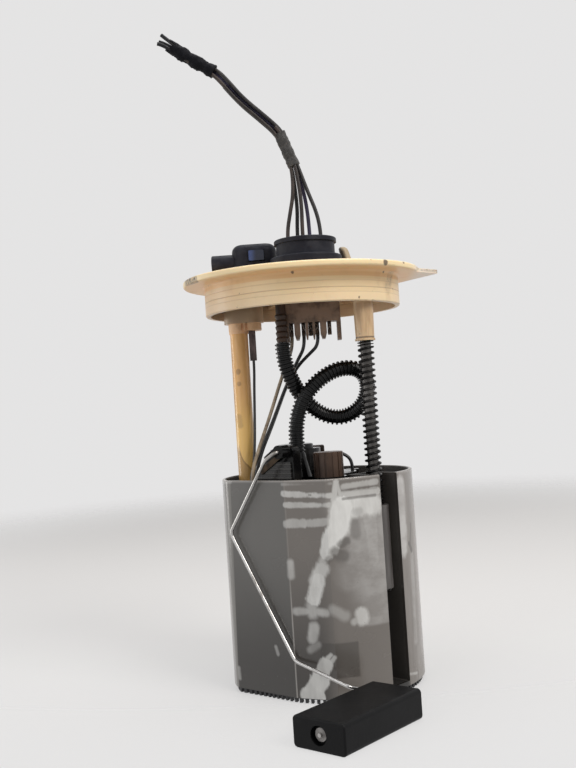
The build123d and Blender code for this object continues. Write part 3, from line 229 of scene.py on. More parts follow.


# Pale marks on the front: dried smears, and painted reflections of the room in the wet gloss.
cup_smears_and_reflections = cup_marks((
    (13.6, 102.5, 21.7, 102.8, 4.0, 1.7, 0.70),
    (21.7, 102.8, 29.3, 102.4, 3.4, 1.7, 0.66),
    (12.1, 103.2, 9.3, 92.4, 5.0, 1.4, 0.80),
    (9.4, 94.0, 5.1, 83.9, 5.1, 0.9, 0.80),
    (5.1, 84.9, 2.2, 79.8, 3.5, 0.8, 0.76),
    (1.6, 78.7, -0.3, 73.5, 1.4, 1.1, 0.50),
    (-0.4, 71.4, -4.0, 65.1, 2.8, 1.3, 0.62),
    (-2.4, 66.2, -6.2, 55.1, 3.2, 1.0, 0.74),
    (-7.2, 51.9, -6.8, 48.8, 2.0, 1.5, 0.42),
    (-15.7, 48.8, -7.1, 49.3, 0.9, 1.0, 0.42),
    (-7.1, 49.3, 0.2, 48.4, 1.0, 1.1, 0.42),
    (3.9, 50.1, 10.0, 46.5, 1.0, 1.5, 0.28),
    (18.5, 47.0, 19.3, 43.8, 2.4, 1.1, 0.62),
    (14.5, 42.9, 17.2, 44.1, 0.7, 0.9, 0.40),
    (-6.6, 40.4, -7.9, 35.0, 1.6, 1.3, 0.46),
    (-5.1, 31.5, -9.5, 28.7, 0.7, 1.1, 0.24),
    (-2.0, 23.3, 1.4, 26.6, 0.5, 0.6, 0.50),
    (0.5, 21.9, 3.1, 25.4, 0.5, 0.6, 0.50),
    (-1.6, 21.3, -4.6, 14.8, 3.2, 0.7, 0.60),
    (-5.2, 13.8, -8.2, 7.8, 5.0, 0.7, 0.66),
    (-11.6, 3.9, -7.9, 4.2, 5.1, 0.7, 0.68),
    (-18.9, 116.2, 7.1, 115.8, 0.2, 0.5, 0.22),
    (-18.6, 111.1, 6.7, 109.6, 1.1, 0.5, 0.54),
    (-17.9, 105.2, 6.4, 104.7, 1.0, 0.5, 0.48),
    (-17.5, 95.1, -8.4, 95.3, 1.9, 0.6, 0.42),
    (-8.4, 95.3, 3.7, 96.0, 1.5, 0.6, 0.36),
    (13.3, 113.5, 22.4, 114.3, 1.0, 0.6, 0.38),
    (22.4, 114.3, 31.2, 114.7, 1.0, 0.6, 0.38),
    (13.0, 109.6, 22.1, 109.8, 1.5, 0.5, 0.46),
    (22.1, 109.8, 31.4, 109.9, 1.5, 0.5, 0.46),
    (7.9, 107.2, 9.8, 116.4, 0.9, 0.6, 0.55),
    (10.1, 116.4, 11.7, 109.0, 0.5, 0.5, 0.50),
    (-17.2, 74.4, -17.1, 67.5, 0.7, 1.1, 0.45),
    (-53.4, 117.1, -48.6, 118.1, 0.6, 0.7, 0.30),
    (-27.9, 28.5, -27.0, 24.9, 0.3, 0.7, 0.30),
    (-50.2, 13.8, -50.0, 8.3, 0.4, 0.7, 0.28),
    (38.1, 10.3, 47.8, 7.4, 0.2, 0.5, 0.40),
))
cup_smears_and_reflections = cup_smears_and_reflections * (0.88 + grey.patches(0.35, 0.65, 0.004, 3, 0.6, (1, 1, 3)) * 0.24)
# A painted reflection haze, in pale bands, beside the smears.
cup_reflection_haze = cup_marks((
    (13.6, 102.5, 29.3, 102.4, 4.4, 1.6, 0.30),
    (26.2, 98.0, 27.5, 84.2, 3.0, 2.0, 0.46),
    (27.5, 84.2, 27.3, 73.6, 2.4, 2.2, 0.44),
    (16.2, 77.1, 27.1, 70.5, 3.0, 3.4, 0.36),
    (15.1, 67.8, 28.0, 60.3, 4.1, 4.0, 0.26),
    (45.0, 110.9, 44.2, 76.5, 3.4, 1.6, 0.62),
    (49.6, 70.7, 48.5, 25.0, 1.1, 1.2, 0.25),
))
cup_veil = (grey.fade(grey.x + grey.z * 0.22, 0.0215, 0.038) * grey.fade(grey.x, 0.037, 0.034)
            * grey.fade(grey.z, 0.0388, 0.0408) * grey.fade(grey.z, 0.112, 0.106) * cup_front)
cup_reflection_haze = (cup_reflection_haze | (cup_veil * 0.34)) * (0.62 + grey.patches(0.34, 0.66, 0.007, 4, 0.65, (1.7, 1.7, 1)) * 0.62)
cup_shade = cup_marks((
    (18.4, 93.7, 18.5, 88.4, 1.5, 1.4, 0.50),
    (19.3, 99.9, 21.5, 100.2, 0.9, 1.1, 0.30),
    (10.3, 83.4, 13.0, 85.3, 1.3, 1.0, 0.75),
    (7.4, 79.5, 11.5, 77.6, 2.1, 1.4, 0.75),
    (3.0, 76.1, 8.5, 79.9, 0.9, 0.9, 0.60),
    (12.9, 107.3, 22.0, 107.6, 0.3, 0.4, 0.60),
    (22.0, 107.6, 30.2, 107.6, 0.3, 0.4, 0.60),
    (13.2, 111.7, 22.3, 111.9, 0.4, 0.5, 0.35),
    (22.3, 111.9, 31.0, 111.8, 0.4, 0.5, 0.35),
    (-5.0, 110.3, -4.0, 110.2, 0.2, 0.3, 0.60),
    (50.1, 88.2, 48.8, 77.1, 0.4, 0.5, 0.70),
    (48.2, 78.3, 49.6, 74.0, 0.7, 0.5, 0.80),
))
cup_low_shade = grey.band(grey.x, 0.006, 0.0095, 0.0012) * grey.band(grey.z, 0.0235, 0.0085, 0.0012) * cup_front
cup_crease = grey.stroke((-17.9, -45.0, 117.0), (-17.9, -45.0, 3.0), 0.22, 0.4) * (
    0.25 + grey.fade(grey.z, 0.075, 0.045) * 0.65)
# Painted shade: the inside of the cup and the rod's slot are painted near black, one side of the slot lighter as lit.
cup_inside_shade = (grey.fade(grey.x * grey.x + grey.y * grey.y, 0.0532 ** 2, 0.0526 ** 2)
              * grey.fade(grey.towards(panel_out), 0.0454, 0.0448) * grey.fade(grey.towards(facet_out), 0.0476, 0.0470))
cup_slot_aside = grey.towards(slot_along)
cup_slot_shade = grey.band(cup_slot_aside, 0, 0.0070, 0.0002) * grey.fade(grey.towards(slot_out), 0.032, 0.033)
cup_slot_lit = cup_slot_shade * grey.fade(cup_slot_aside, 0.0045, 0.0068)
# Painted shade: the left of the front grows darker towards the bottom.
cup_low_left_shade = grey.fade(grey.z, 0.09, 0.012) * grey.fade(grey.x, 0.008, -0.004)
# Painted highlight down the cup's left front rounding.
cup_left_highlight = grey.fade(grey.x - grey.z * 0.0207, -0.0506, -0.0512) * grey.fade(grey.y, 0.012, -0.008)
# Painted reflection: pale vertical streaks on the right beyond the slot.
cup_right_reflection_streaks = grey.fade(grey.x, 0.0385, 0.046) * grey.patches(0.3, 0.6, 0.006, 3, 0.55, (1, 1, 7))
# Painted highlight along the rim's top.
cup_rim_highlight = grey.fade(grey.z, 0.1166, 0.1178)
cup_dirt = grey.patches(0.52, 0.78, 0.02, 4, 0.62)
cup_specks = grey.fade(grey.cells(0.0042), 0.075, 0.045)
cup_color = grey.layers(
    (0.15, 0.145, 0.137), (cup_dirt * 0.4, (0.12, 0.115, 0.108)),
    # The facet right of the crease is painted lighter, as lit from the right.
    (grey.fade(grey.x, -0.019, -0.0176), (0.185, 0.168, 0.153)), (cup_low_left_shade * 0.8, (0.034, 0.031, 0.029)),
    (cup_left_highlight * 0.75, (0.27, 0.26, 0.245)), (cup_right_reflection_streaks * 0.5, (0.38, 0.35, 0.33)),
    (cup_low_shade * 0.55, (0.05, 0.045, 0.04)), (cup_reflection_haze, (0.66, 0.65, 0.64)),
    (cup_smears_and_reflections, (0.84, 0.84, 0.82)), (cup_shade, (0.12, 0.11, 0.1)),
    ((cup_crease * 0.75) | (cup_rim_highlight * 0.5), (0.42, 0.4, 0.38)), (cup_specks * 0.35, (0.05, 0.045, 0.04)),
    ((cup_inside_shade * 0.86) | (cup_slot_shade * 0.94), (0.006, 0.0055, 0.005)), (cup_slot_lit * 0.55, (0.1, 0.09, 0.08)))
grey.coat(cup_color, 0.2 + cup_dirt * 0.16 + cup_smears_and_reflections * 0.1 + cup_specks * 0.2 + cup_inside_shade * 0.4,
          relief=cup_ripple * 0.00035 + grey.noise(0.0012, 2) * 0.00001, shine=0.45, film=(0.15, 0.12))
dress(grey, "reservoir_cup")

# ------------ foot
# A black toothed ring with spokes and a middle pad, clipped under the cup. Moulded, dull, worn pale on its tips.
foot_black = Finish("foot_black")
foot_worn = foot_black.fade(foot_black.z + foot_black.noise(0.002) * 0.0012, 0.0011, 0.0004)
foot_black.coat(foot_black.blend(foot_worn * 0.5, (0.02, 0.02, 0.022), (0.13, 0.13, 0.13)),
                0.42 + foot_black.noise(0.004, 3) * 0.25, relief=foot_black.noise(0.0006, 2) * 0.00004)
dress(foot_black, "foot_ring")

# ------------ foot valve
# A rubber disc that lies loose over five ports in the cup's floor, under a windowed cage of natural plastic.
rubber = Finish("rubber_black")
rubber.coat(rubber.blend(rubber.noise(0.003, 3), (0.012, 0.012, 0.013), (0.035, 0.033, 0.032)),
            0.5 + rubber.noise(0.002, 2) * 0.2, relief=rubber.noise(0.0008, 3) * 0.00005)
natural = worn_finish("natural_plastic", (0.62, 0.55, 0.42), (0.36, 0.25, 0.14), (0.42, 0.72, 0.012, 4, 0.6), 0.38,
                      share=0.7, rougher=0.15, grain=(0.0015, 2), height=0.00003)
dress(rubber, "valve_disc", "pump_isolator")
dress(natural, "valve_cage", "filter_canister")

# ------------ rod's sleeve
# The cup's own grey plastic, a slotted guide in which the flange's steel rod runs. Rubbed bright along its bore.
sleeve_grey = worn_finish("sleeve_grey", (0.085, 0.078, 0.074), (0.17, 0.16, 0.155),
                          (0.45, 0.7, 0.003, 3, 0.6, (1, 1, 8)), 0.34, share=0.6, rougher=0.12,
                          grain=(0.002, 2, 0.5, (1, 1, 6)), height=0.00006)
dress(sleeve_grey, "rod_guide_sleeve")

# ------------ filter, pump and strainer
# Inside the canister: a pleated paper ring round a plated steel pump on a rubber isolator, and a woven strainer
# below, clipped on the pump's inlet.
paper = Finish("paper_filter")
paper.coat(paper.blend(paper.noise(0.004, 4), (0.66, 0.56, 0.34), (0.46, 0.34, 0.18)), 0.85,
           relief=paper.noise(0.0004, 3, 0.7) * 0.00006)
gauze = Finish("mesh_strainer")
gauze_threads = 9000    # radians in a metre
mesh_weave = gauze.x.wave(gauze_threads) * gauze.y.wave(gauze_threads)
gauze.coat(gauze.blend(gauze.fade(mesh_weave, -0.2, 0.5), (0.72, 0.7, 0.62), (0.36, 0.33, 0.27)),
           0.7, relief=mesh_weave * 0.00006)
plated = worn_finish("steel_plated", (0.56, 0.56, 0.55), (0.3, 0.27, 0.23), (0.45, 0.72, 0.004, 4, 0.65), 0.3,
                     rougher=0.25, grain=(0.0005, 2, 0.5, (1, 1, 6)), height=0.00002, metal=1.0)
dress(paper, "filter_element")
dress(gauze, "inlet_strainer")
dress(plated, "fuel_pump", "pressure_regulator")

# ------------ canister's lid and its fittings
# A stepped dome of black plastic, wet with fuel, with a nipple for the hose and a ring for the regulator. The
# pump's plug and the regulator's fluted holder are brown and stained.
wet_black = Finish("black_gloss")
wet_pool = wet_black.patches(0.4, 0.62, 0.006, 3)
wet_black.coat(wet_black.blend(wet_pool, (0.004, 0.004, 0.0045), (0.011, 0.0105, 0.01)), 0.1 + wet_pool * 0.16,
               relief=wet_black.noise(0.0035, 3, 0.55) * 0.00022 + wet_pool * 0.0001, shine=0.14, film=(0.12, 0.05))
brown = Finish("brown_plastic")
brown_stain = brown.patches(0.38, 0.66, 0.007, 4, 0.6, (1, 1, 2))
brown_grime = brown.patches(0.6, 0.75, 0.002, 3)
brown_color = brown.layers((0.078, 0.045, 0.029), (brown_stain, (0.034, 0.02, 0.014)),
                           (brown_grime * 0.6, (0.025, 0.018, 0.014)))
brown.coat(brown_color, 0.32 + brown_stain * 0.2, relief=brown.noise(0.0012, 3) * 0.00006, shine=0.3)
dress(wet_black, "canister_lid")
dress(brown, "pump_connector", "regulator_housing")

# ------------ level sender
# A black housing inside the flat side carries a dark glazed card with raised tracks. A brass wiper, dark with
# fuel, sweeps over it on a black hub. The leads' plug hangs on its left.
ceramic = Finish("ceramic_card")
card_tracks = ceramic.fade(ceramic.z.wave(2600), 0.3, 0.5)
ceramic.coat(ceramic.blend(card_tracks, (0.012, 0.011, 0.011), (0.04, 0.038, 0.036)), 0.22,
             relief=card_tracks * 0.0002)
brass = worn_finish("brass_strip", (0.05, 0.036, 0.024), (0.02, 0.015, 0.012), (0.4, 0.7, 0.003, 4), 0.34,
                    rougher=0.2, metal=1.0)
dress(wet_black, "sender_plug", "wiper_hub")
dress(brass, "contact_wiper")
panel_along = Vector((0.7771, -0.6293, 0))


def start_piece(name, placed=True):
    """Puts the turn and size of the shape that was just added in its mesh, and its place too unless it is still
    needed, names it and opens it for editing."""
    bpy.ops.object.transform_apply(location=placed, rotation=True, scale=True)
    piece = bpy.context.object
    piece.name = name
    piece.data.name = name
    bpy.ops.object.mode_set(mode="EDIT")
    return piece


def pick(kind, wanted):
    """Selects the corners, edges or faces that are wanted, and nothing else."""
    mesh = bpy.context.edit_object.data
    bpy.ops.mesh.select_mode(type=kind)
    bpy.ops.mesh.select_all(action="DESELECT")
    shape = bmesh.from_edit_mesh(mesh)
    for part in {"VERT": shape.verts, "EDGE": shape.edges, "FACE": shape.faces}[kind]:
        part.select_set(bool(wanted(part)))
    shape.select_flush_mode()
    bmesh.update_edit_mesh(mesh)


def cut(place, way, **how):
    """Cuts the whole open shape across."""
    bpy.ops.mesh.select_all(action="SELECT")
    bpy.ops.mesh.bisect(plane_co=place, plane_no=way, **how)


def draw_out(way):
    """Extrudes what is picked."""
    bpy.ops.mesh.extrude_region_move(TRANSFORM_OT_translate={"value": way})


def end_piece(piece, finish, smooth=35):
    """Closes the editing, puts the place in the mesh and gives the finish."""
    bpy.ops.object.mode_set(mode="OBJECT")
    for modifier in list(piece.modifiers):
        bpy.ops.object.modifier_apply(modifier=modifier.name)
    bpy.ops.object.transform_apply(location=True, rotation=True, scale=True)
    bpy.ops.object.shade_smooth_by_angle(angle=radians(smooth))
    piece.data.materials.clear()
    piece.data.materials.append(finish.material)
    bpy.ops.object.select_all(action="DESELECT")


def start_from(node, name):
    """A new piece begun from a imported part's shape, its seams merged."""
    bpy.ops.object.select_all(action="DESELECT")
    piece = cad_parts[node].copy()
    piece.data = piece.data.copy()
    bpy.context.scene.collection.objects.link(piece)
    piece.select_set(True)
    bpy.context.view_layer.objects.active = piece
    bpy.ops.mesh.customdata_custom_splitnormals_clear()
    start_piece(name)
    bpy.ops.mesh.select_all(action="SELECT")
    bpy.ops.mesh.remove_doubles(threshold=0.001 * mm)
    return piece


# The housing's shoulder is cut back in four flats, and the card's corner with it. Each flat is given by the place
# along the panel and the height where it starts and ends. Narrow level ridges stand out of both fronts.
shoulder = ((-13.0, 113.0), (-8.2, 123.0), (-3.4, 131.3), (2.8, 135.2), (8.0, 136.4))
ridge_half, ridge_rise, housing_front = 0.7 * mm, 0.25 * mm, 39 * mm
for node, name, inset, finish, ridges in (
    ("sender_housing", "sender_housing_shoulder", 0.0, wet_black, (130.4, 127.6)),
    ("resistor_card", "resistor_card_tracks", 1.2, ceramic, (122.6, 119.2, 115.8, 112.4)),
):
    piece = start_from(node, name)
    for (start_along, start_z), (end_along, end_z) in zip(shoulder, shoulder[1:]):
        outward = (panel_along * (start_z - end_z) + Vector((0, 0, end_along - start_along))).normalized()
        start = panel_along * start_along + Vector((0, 0, start_z))
        cut(start * mm - outward * inset * mm, outward, clear_outer=True, use_fill=True)
    for ridge in ridges:
        for edge in (-ridge_half, ridge_half):
            cut((0, 0, ridge * mm + edge), (0, 0, 1))
        pick("FACE", lambda f: (
            f.normal.dot(panel_out) > 0.95 and f.calc_center_median().dot(panel_out) > housing_front
            and abs(f.calc_center_median().z - ridge * mm) < ridge_half))
        draw_out(panel_out * ridge_rise)
    end_piece(piece, finish, 30)
    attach(piece, "reservoir")
    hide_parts(node)

# ------------ float arm and float
# One bright drawn steel wire from the hub over the rim and down to the float, which is a block of black
# closed-cell foam rubber, kept on the wire's end by a plated push-on washer.
bright_steel = worn_finish("steel_bright", (0.42, 0.41, 0.4), (0.16, 0.145, 0.13),
                           (0.5, 0.78, 0.004, 4, 0.6, (1, 1, 3)), 0.22, rougher=0.24,
                           grain=(0.0016, 2, 0.5, (1, 1, 9)), height=0.000008, metal=1.0)
dress(bright_steel, "float_arm")
dull_steel = worn_finish("steel_dull", (0.3, 0.29, 0.28), (0.15, 0.14, 0.135), (0.4, 0.65, 0.002, 4), 0.45, metal=0.7)
dress(dull_steel, "float_retainer")

foam = Finish("float_black")
float_scuff = foam.patches(0.56, 0.74, 0.0035, 4, 0.65, (3, 1, 1))
foam.coat(
    foam.blend(float_scuff * 0.4, (0.003, 0.0031, 0.0036), (0.022, 0.022, 0.0235)),
    0.4 + foam.noise(0.006, 3) * 0.12 + float_scuff * 0.12,
    relief=foam.cells(0.0007) * 0.00004 + foam.noise(0.012, 2) * 0.00025, shine=0.15)
dress(foam, "float_block")

# ------------ guide rod and its spring
# An oiled steel rod, pressed in the flange, with a plated clip at its foot. Round it a coil of dark spring
# steel, its end turns wound close, pushes flange and cup apart.
rod_x, rod_y = 31.2213 * mm, -31.0034 * mm
spring_bottom, spring_top = 101.1 * mm, 190.7 * mm
spring_radius, spring_wire = 4.0 * mm, 0.6 * mm
spring_turns, spring_steps = 30, 20
pressed_turns, pressed_share, drawn_from = 2.1, 0.5, 1.25
oiled_steel = worn_finish("steel_oiled", (0.11, 0.105, 0.1), (0.05, 0.046, 0.043),
                          (0.4, 0.7, 0.004, 4, 0.6, (1, 1, 4)), 0.34, rougher=0.2, metal=0.8)
dress(oiled_steel, "guide_rod")
dress(plated, "rod_clip")

bpy.ops.object.select_all(action="DESELECT")
bpy.ops.mesh.primitive_circle_add(vertices=8, radius=spring_wire, location=(rod_x, rod_y, 0), rotation=(pi / 2, 0, 0))
spring = start_piece("pressure_spring", placed=False)
spring_pitch = (spring_top - spring_bottom - 2 * spring_wire) / spring_turns
bpy.ops.transform.translate(value=(spring_radius, 0, spring_bottom + spring_wire))
bpy.ops.object.mode_set(mode="OBJECT")
winding = spring.modifiers.new("winding", "SCREW")
winding.axis = "Z"
winding.iterations = spring_turns
winding.screw_offset = spring_pitch
winding.steps = winding.render_steps = spring_steps
winding.use_smooth_shade = True
bpy.ops.object.modifier_apply(modifier="winding")
bpy.ops.object.transform_apply(location=True, rotation=True, scale=True)
bpy.ops.object.mode_set(mode="EDIT")
# The turns at each end are pressed together, and those between are drawn out to meet them.
for end_z, inward in ((spring_bottom, 1), (spring_top, -1)):
    pick("VERT", lambda v: (v.co.z - end_z) * inward < pressed_turns * spring_pitch)
    bpy.ops.transform.resize(value=(1, 1, pressed_share), center_override=(rod_x, rod_y, end_z))
pick("VERT", lambda v: spring_bottom < v.co.z - drawn_from * spring_pitch and (
    v.co.z + drawn_from * spring_pitch < spring_top))
spring_length, pressed_ends = spring_top - spring_bottom, 2 * pressed_turns * spring_pitch
spring_stretch = (spring_length - pressed_share * pressed_ends) / (spring_length - pressed_ends)
bpy.ops.transform.resize(value=(1, 1, spring_stretch),
                         center_override=(rod_x, rod_y, (spring_bottom + spring_top) / 2))
bpy.ops.mesh.select_all(action="SELECT")
bpy.ops.mesh.normals_make_consistent(inside=False)
pick("EDGE", lambda e: e.is_boundary)
bpy.ops.mesh.edge_face_add()
dark_steel = Finish("steel_dark")
spring_rub = dark_steel.patches(0.42, 0.66, 0.004, 4, 0.6)
dark_steel.coat(dark_steel.blend(spring_rub, (0.012, 0.0115, 0.0115), (0.045, 0.042, 0.04)),
                0.26 + dark_steel.noise(0.002, 2) * 0.16, 0.9)
end_piece(spring, dark_steel, 50)
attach(spring, "reservoir")
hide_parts("coil_spring")
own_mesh(spring)

# ------------ guide tube, its clip and the ground blade
# A tube of amber nylon, stained by fuel, stands in a boss of the flange and slides in the cup. A snap clip holds
# it there, and a stained metal blade beside it takes the ground lead.
amber = Finish("tube_amber")
amber_run = amber.noise(0.004, 4, 0.6, (1, 1, 7))
amber_stain = amber.fade(amber_run, 0.44, 0.68)
amber_wander = (amber.noise(0.003, 3) - 0.5) * 0.003
amber_low = amber.fade(amber.z, 0.139, 0.131)
amber_scoop = amber_wander * 0.6 + amber.node("VectorMath", {"operation": "DISTANCE"}, {
    0: amber.node("CombineXYZ", {}, {0: amber.x * 1.5, 1: amber.z}),
    1: Vector((-49.0, 138.4, 0)) * mm}, "Value")
# Darker below the cup's rim and within an arc low on the tube.
amber_dark_low = amber.fade(amber.z + amber_wander, 0.119, 0.117) | amber.fade(amber_scoop, 0.0178, 0.0188) * amber_low
amber_ring = amber.band(amber_scoop, 0.0181, 0.0003, 0.0005) * amber_low
amber_edge = amber.fade(amber.x + amber_wander, -0.0444, -0.0456) * amber_stain
amber_spots = (
    amber.spot((-42.4, 9.0, 179.7), 0.9, 0.9, amber_wander) | amber.spot((-42.2, 9.0, 172.6), 0.9, 0.9)
    | amber.stroke((-43.6, 8.9, 153.0), (-43.4, 8.9, 148.0), 0.6, 1.8, amber_wander) * 0.7)
amber.coat(
    amber.layers(
        (0.98, 0.56, 0.21), (amber_stain * 0.5, (0.62, 0.33, 0.1)),
        (amber.fade(amber.z, 0.172, 0.142) * 0.7, (1.0, 0.66, 0.2)), (amber_dark_low * 0.55, (0.3, 0.15, 0.06)),
        ((amber_ring * 0.6) | (amber_spots * 0.45) | (amber_edge * 0.5), (0.16, 0.08, 0.035))),
    0.3 + amber_stain * 0.15, relief=amber_run * 0.00008, film=(0.2, 0.15))
shaded_peach = worn_finish("peach_shaded", (0.95, 0.62, 0.36), (0.6, 0.34, 0.17), (0.4, 0.66, 0.005, 4), 0.45,
                           grain=(0.0015, 3), height=0.00005)
dress(amber, "guide_tube")
dress(shaded_peach, "tube_clip")
stained_blade = worn_finish("blade_stained", (0.12, 0.09, 0.085), (0.045, 0.034, 0.032),
                            (0.4, 0.62, 0.003, 4, 0.6, (1, 1, 2)), 0.45, metal=0.6)
dress(stained_blade, "ground_blade")

# ------------ flange
# The tank's cover: one moulding of natural nylon that fuel has turned peach and, under its lip, orange, where
# painted shade darkens it too. Faint tool grooves run round the skirt. Grime has settled in specks, on the left of
# the lip and round the bosses. Painted shade darkens the underside, the skirt's left and the rod's boss, and a
# painted highlight lies on the lip's right end.
peach = Finish("peach_plastic")
peach_cloud = peach.noise(0.012, 3, 0.55, (1, 1, 0.35))
# Under the lip: fuel's orange tint, darkened there by painted shade.
under_lip_tint_and_shade = peach.band(peach.z, 0.2268, 0.0017, 0.0006)
skirt_foot = peach.fade(peach.z, 0.2195, 0.2125)
groove_wave = (peach_cloud - 0.5) * 0.0006
grooves = (
    peach.band(peach.z + groove_wave, 0.2189, 0.00012, 0.00022)
    | peach.band(peach.z, 0.2163, 0.0001, 0.0002) * 0.5
    | peach.band(peach.z, 0.2226, 0.0001, 0.0003) * 0.5)
specks = peach.fade(peach.cells(0.0075), 0.06, 0.035) | peach.fade(peach.cells(0.0042), 0.05, 0.03) * 0.6
grime = specks * 0.5
for middle, radius, strength in (
    ((43.6, -50.4, 230.4), 1.15, 0.85), ((43.2, -33.0, 227.6), 0.5, 0.7), ((-6.2, -55.9, 227.6), 0.55, 0.8),
    ((54.3, -38.2, 231.4), 0.55, 0.8), ((28.5, -47.0, 213.2), 0.5, 0.8), ((35.5, -56.7, 231.6), 0.35, 0.6),
    ((37.6, -55.3, 231.6), 0.35, 0.6), ((52.4, -14.0, 213.0), 0.4, 0.5), ((48.6, -24.0, 219.0), 0.3, 0.5),
):
    blot = peach.spot(middle, radius, radius * 0.9, (peach.noise(0.0012, 2) - 0.5) * 0.0016)
    grime = grime | (blot * strength)
scuffed = 0.45 + peach.patches(0.5, 0.62, 0.0011, 3, 0.65) * 0.55
for start, end, radius, soft, strength in (
    ((-66.6, -21.5, 231.0), (-59.6, -36.2, 229.6), 1.9, 1.4, 1.0),
    ((-25.0, -63.9, 231.9), (-11.7, -67.3, 231.9), 0.1, 0.25, 0.6),
    ((-46.0, -51.8, 231.9), (-30.0, -61.9, 231.9), 0.1, 0.3, 0.5),
    ((63.4, -18.7, 229.6), (76.6, -3.0, 229.6), 0.5, 0.6, 0.7),
    ((58.0, 31.9, 230.6), (76.9, -2.8, 230.6), 0.5, 0.6, 0.75),
    ((63.0, -19.0, 230.4), (70.0, 4.0, 230.6), 0.4, 1.2, 0.5),
    ((36.0, -41.0, 211.5), (52.6, -12.0, 211.5), 0.3, 0.7, 0.6),
    ((19.0, -52.0, 211.5), (33.0, -43.6, 211.5), 0.15, 0.5, 0.4),
    ((48.0, -25.4, 227.4), (45.6, -29.6, 219.0), 1.2, 3.6, 0.35),
):
    grime = grime | (peach.stroke(start, end, radius, soft) * strength * scuffed)
seam = peach.stroke((53.3, -9.5, 229.0), (52.3, -13.0, 211.6), 0.12, 0.35) * 0.45
from_rod = peach.node("VectorMath", {"operation": "LENGTH"}, {0: peach.node(
    "CombineXYZ", {}, {0: peach.x - 0.03122, 1: peach.y + 0.031})}, "Value")
# The rod's boss below the deck: painted shade, browner, with stain streaks and a dark ring over it.
boss = peach.fade(from_rod, 0.0105, 0.0098) * peach.fade(peach.z, 0.2122, 0.2110)
boss_ring = boss * peach.band(peach.z, 0.1925, 0.0002, 0.0005)
browned = peach.patches(0.52, 0.78, 0.009, 4, 0.62)
from_middle = (peach.x + 0.002) * (peach.x + 0.002) + peach.y * peach.y
# Painted shade under the deck inside the skirt, deepest on the left.
under_deck_shade = peach.fade(from_middle, 0.0542 ** 2, 0.0536 ** 2) * peach.fade(peach.z, 0.2282, 0.2276)
deck_left_shade = under_deck_shade * peach.fade(peach.x, -0.018, -0.026)
lip_edge = peach.fade(from_middle, 0.0600 ** 2, 0.0612 ** 2)
# Painted shade on the left of the skirt, below the lip.
skirt_left_shade = peach.fade(peach.x, -0.022, -0.05) * peach.fade(peach.z, 0.2284, 0.228)
peach_color = peach.layers(
    peach.blend(peach_cloud, (1.0, 0.8, 0.5), (0.98, 0.73, 0.43)),
    (lip_edge * 0.7, (1.0, 0.78, 0.46)), (skirt_left_shade * 0.5, (0.55, 0.36, 0.2)),
    (under_lip_tint_and_shade * 0.55, (0.86, 0.5, 0.2)), (under_deck_shade * 0.55, (0.5, 0.32, 0.17)),
    (deck_left_shade * 0.6, (0.17, 0.105, 0.062)), (skirt_foot * 0.35, (0.8, 0.62, 0.44)),
    (browned * 0.25, (0.42, 0.22, 0.1)), (grooves * 0.4, (0.34, 0.2, 0.12)),
    # Painted highlight: the lip's right end and its tab are painted paler.
    (peach.fade(peach.x, 0.058, 0.067) * 0.75, (0.95, 0.86, 0.76)), (boss * 0.4, (0.62, 0.4, 0.2)),
    (boss * peach.patches(0.48, 0.62, 0.003, 4, 0.6, (1, 1, 8)) * 0.5, (0.34, 0.2, 0.1)),
    (grime | seam | (boss_ring * 0.7), (0.055, 0.038, 0.03)))
peach.coat(peach_color, 0.36 + browned * 0.16,
           relief=grooves * -0.00012 + peach_cloud * 0.0002 + peach.noise(0.0009, 2) * 0.00002,
           more={"Subsurface Weight": 0.12, "Subsurface Radius": (0.004, 0.0022, 0.001),
                 "Subsurface Scale": 1.0})
dress(peach, "flange_lid", "flange_skirt", "plug_socket", "supply_spigot")

# ------------ vent
# A slanted stub of the same nylon on the deck, grimy and worn pale, drawn out to a bent tip that is open.
grimy = Finish("natural_plastic_grimy")
vent_grime = grimy.fade(grimy.x + grimy.z * 0.35 + grimy.noise(0.002, 3) * 0.003, 0.1125, 0.1105)
grimy.coat(grimy.blend(vent_grime, (0.42, 0.34, 0.23), (0.09, 0.075, 0.06)), 0.5,
           relief=grimy.noise(0.001, 3) * 0.00006)
vent_x, vent_y, vent_foot, vent_rise = 27.0 * mm, 10.0 * mm, 230.6 * mm, 6.0 * mm
vent_radius, vent_wall, vent_bore = 3.3 * mm, 0.3 * mm, (0.7 * mm, 0, -4.0 * mm)
bpy.ops.mesh.primitive_cylinder_add(vertices=28, radius=vent_radius, depth=vent_rise,
                                    location=(vent_x, vent_y, vent_foot + vent_rise / 2))
vent = start_piece("vent_nozzle_bent")
vent_at, vent_level = Vector((vent_x, vent_y, 0)), vent_foot + vent_rise
for aside, up, wide in ((-1.7, 6.8, 0.86), (-0.9, 3.4, 0.98), (-0.5, 1.5, 0.9), (-0.3, 0.9, 0.62)):
    pick("FACE", lambda f: f.normal.z > 0.5 and f.calc_center_median().z > vent_level - 0.1 * mm)
    draw_out((aside * mm, 0, up * mm))
    vent_at.x += aside * mm
    vent_level += up * mm
    bpy.ops.transform.resize(value=(wide, wide, 1), center_override=(vent_at.x, vent_at.y, vent_level))
bpy.ops.mesh.inset(thickness=vent_wall)
draw_out(vent_bore)
end_piece(vent, grimy, 40)
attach(vent, "flange")
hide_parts("vent_nozzle")

# ------------ terminal block and its crimps
# A grey-beige block with dividers under the deck. Five stained tin-plated terminals stand in it, each a pin with
# two crossed folds before a thin back sheet painted near black as their shadow, rolled over its lead below.
block_grey = worn_finish("grey_plastic", (0.29, 0.2, 0.145), (0.11, 0.072, 0.05), (0.42, 0.7, 0.004, 4, 0.62), 0.46,
                         grain=(0.0015, 3), height=0.00006)
dress(block_grey, "terminal_block")

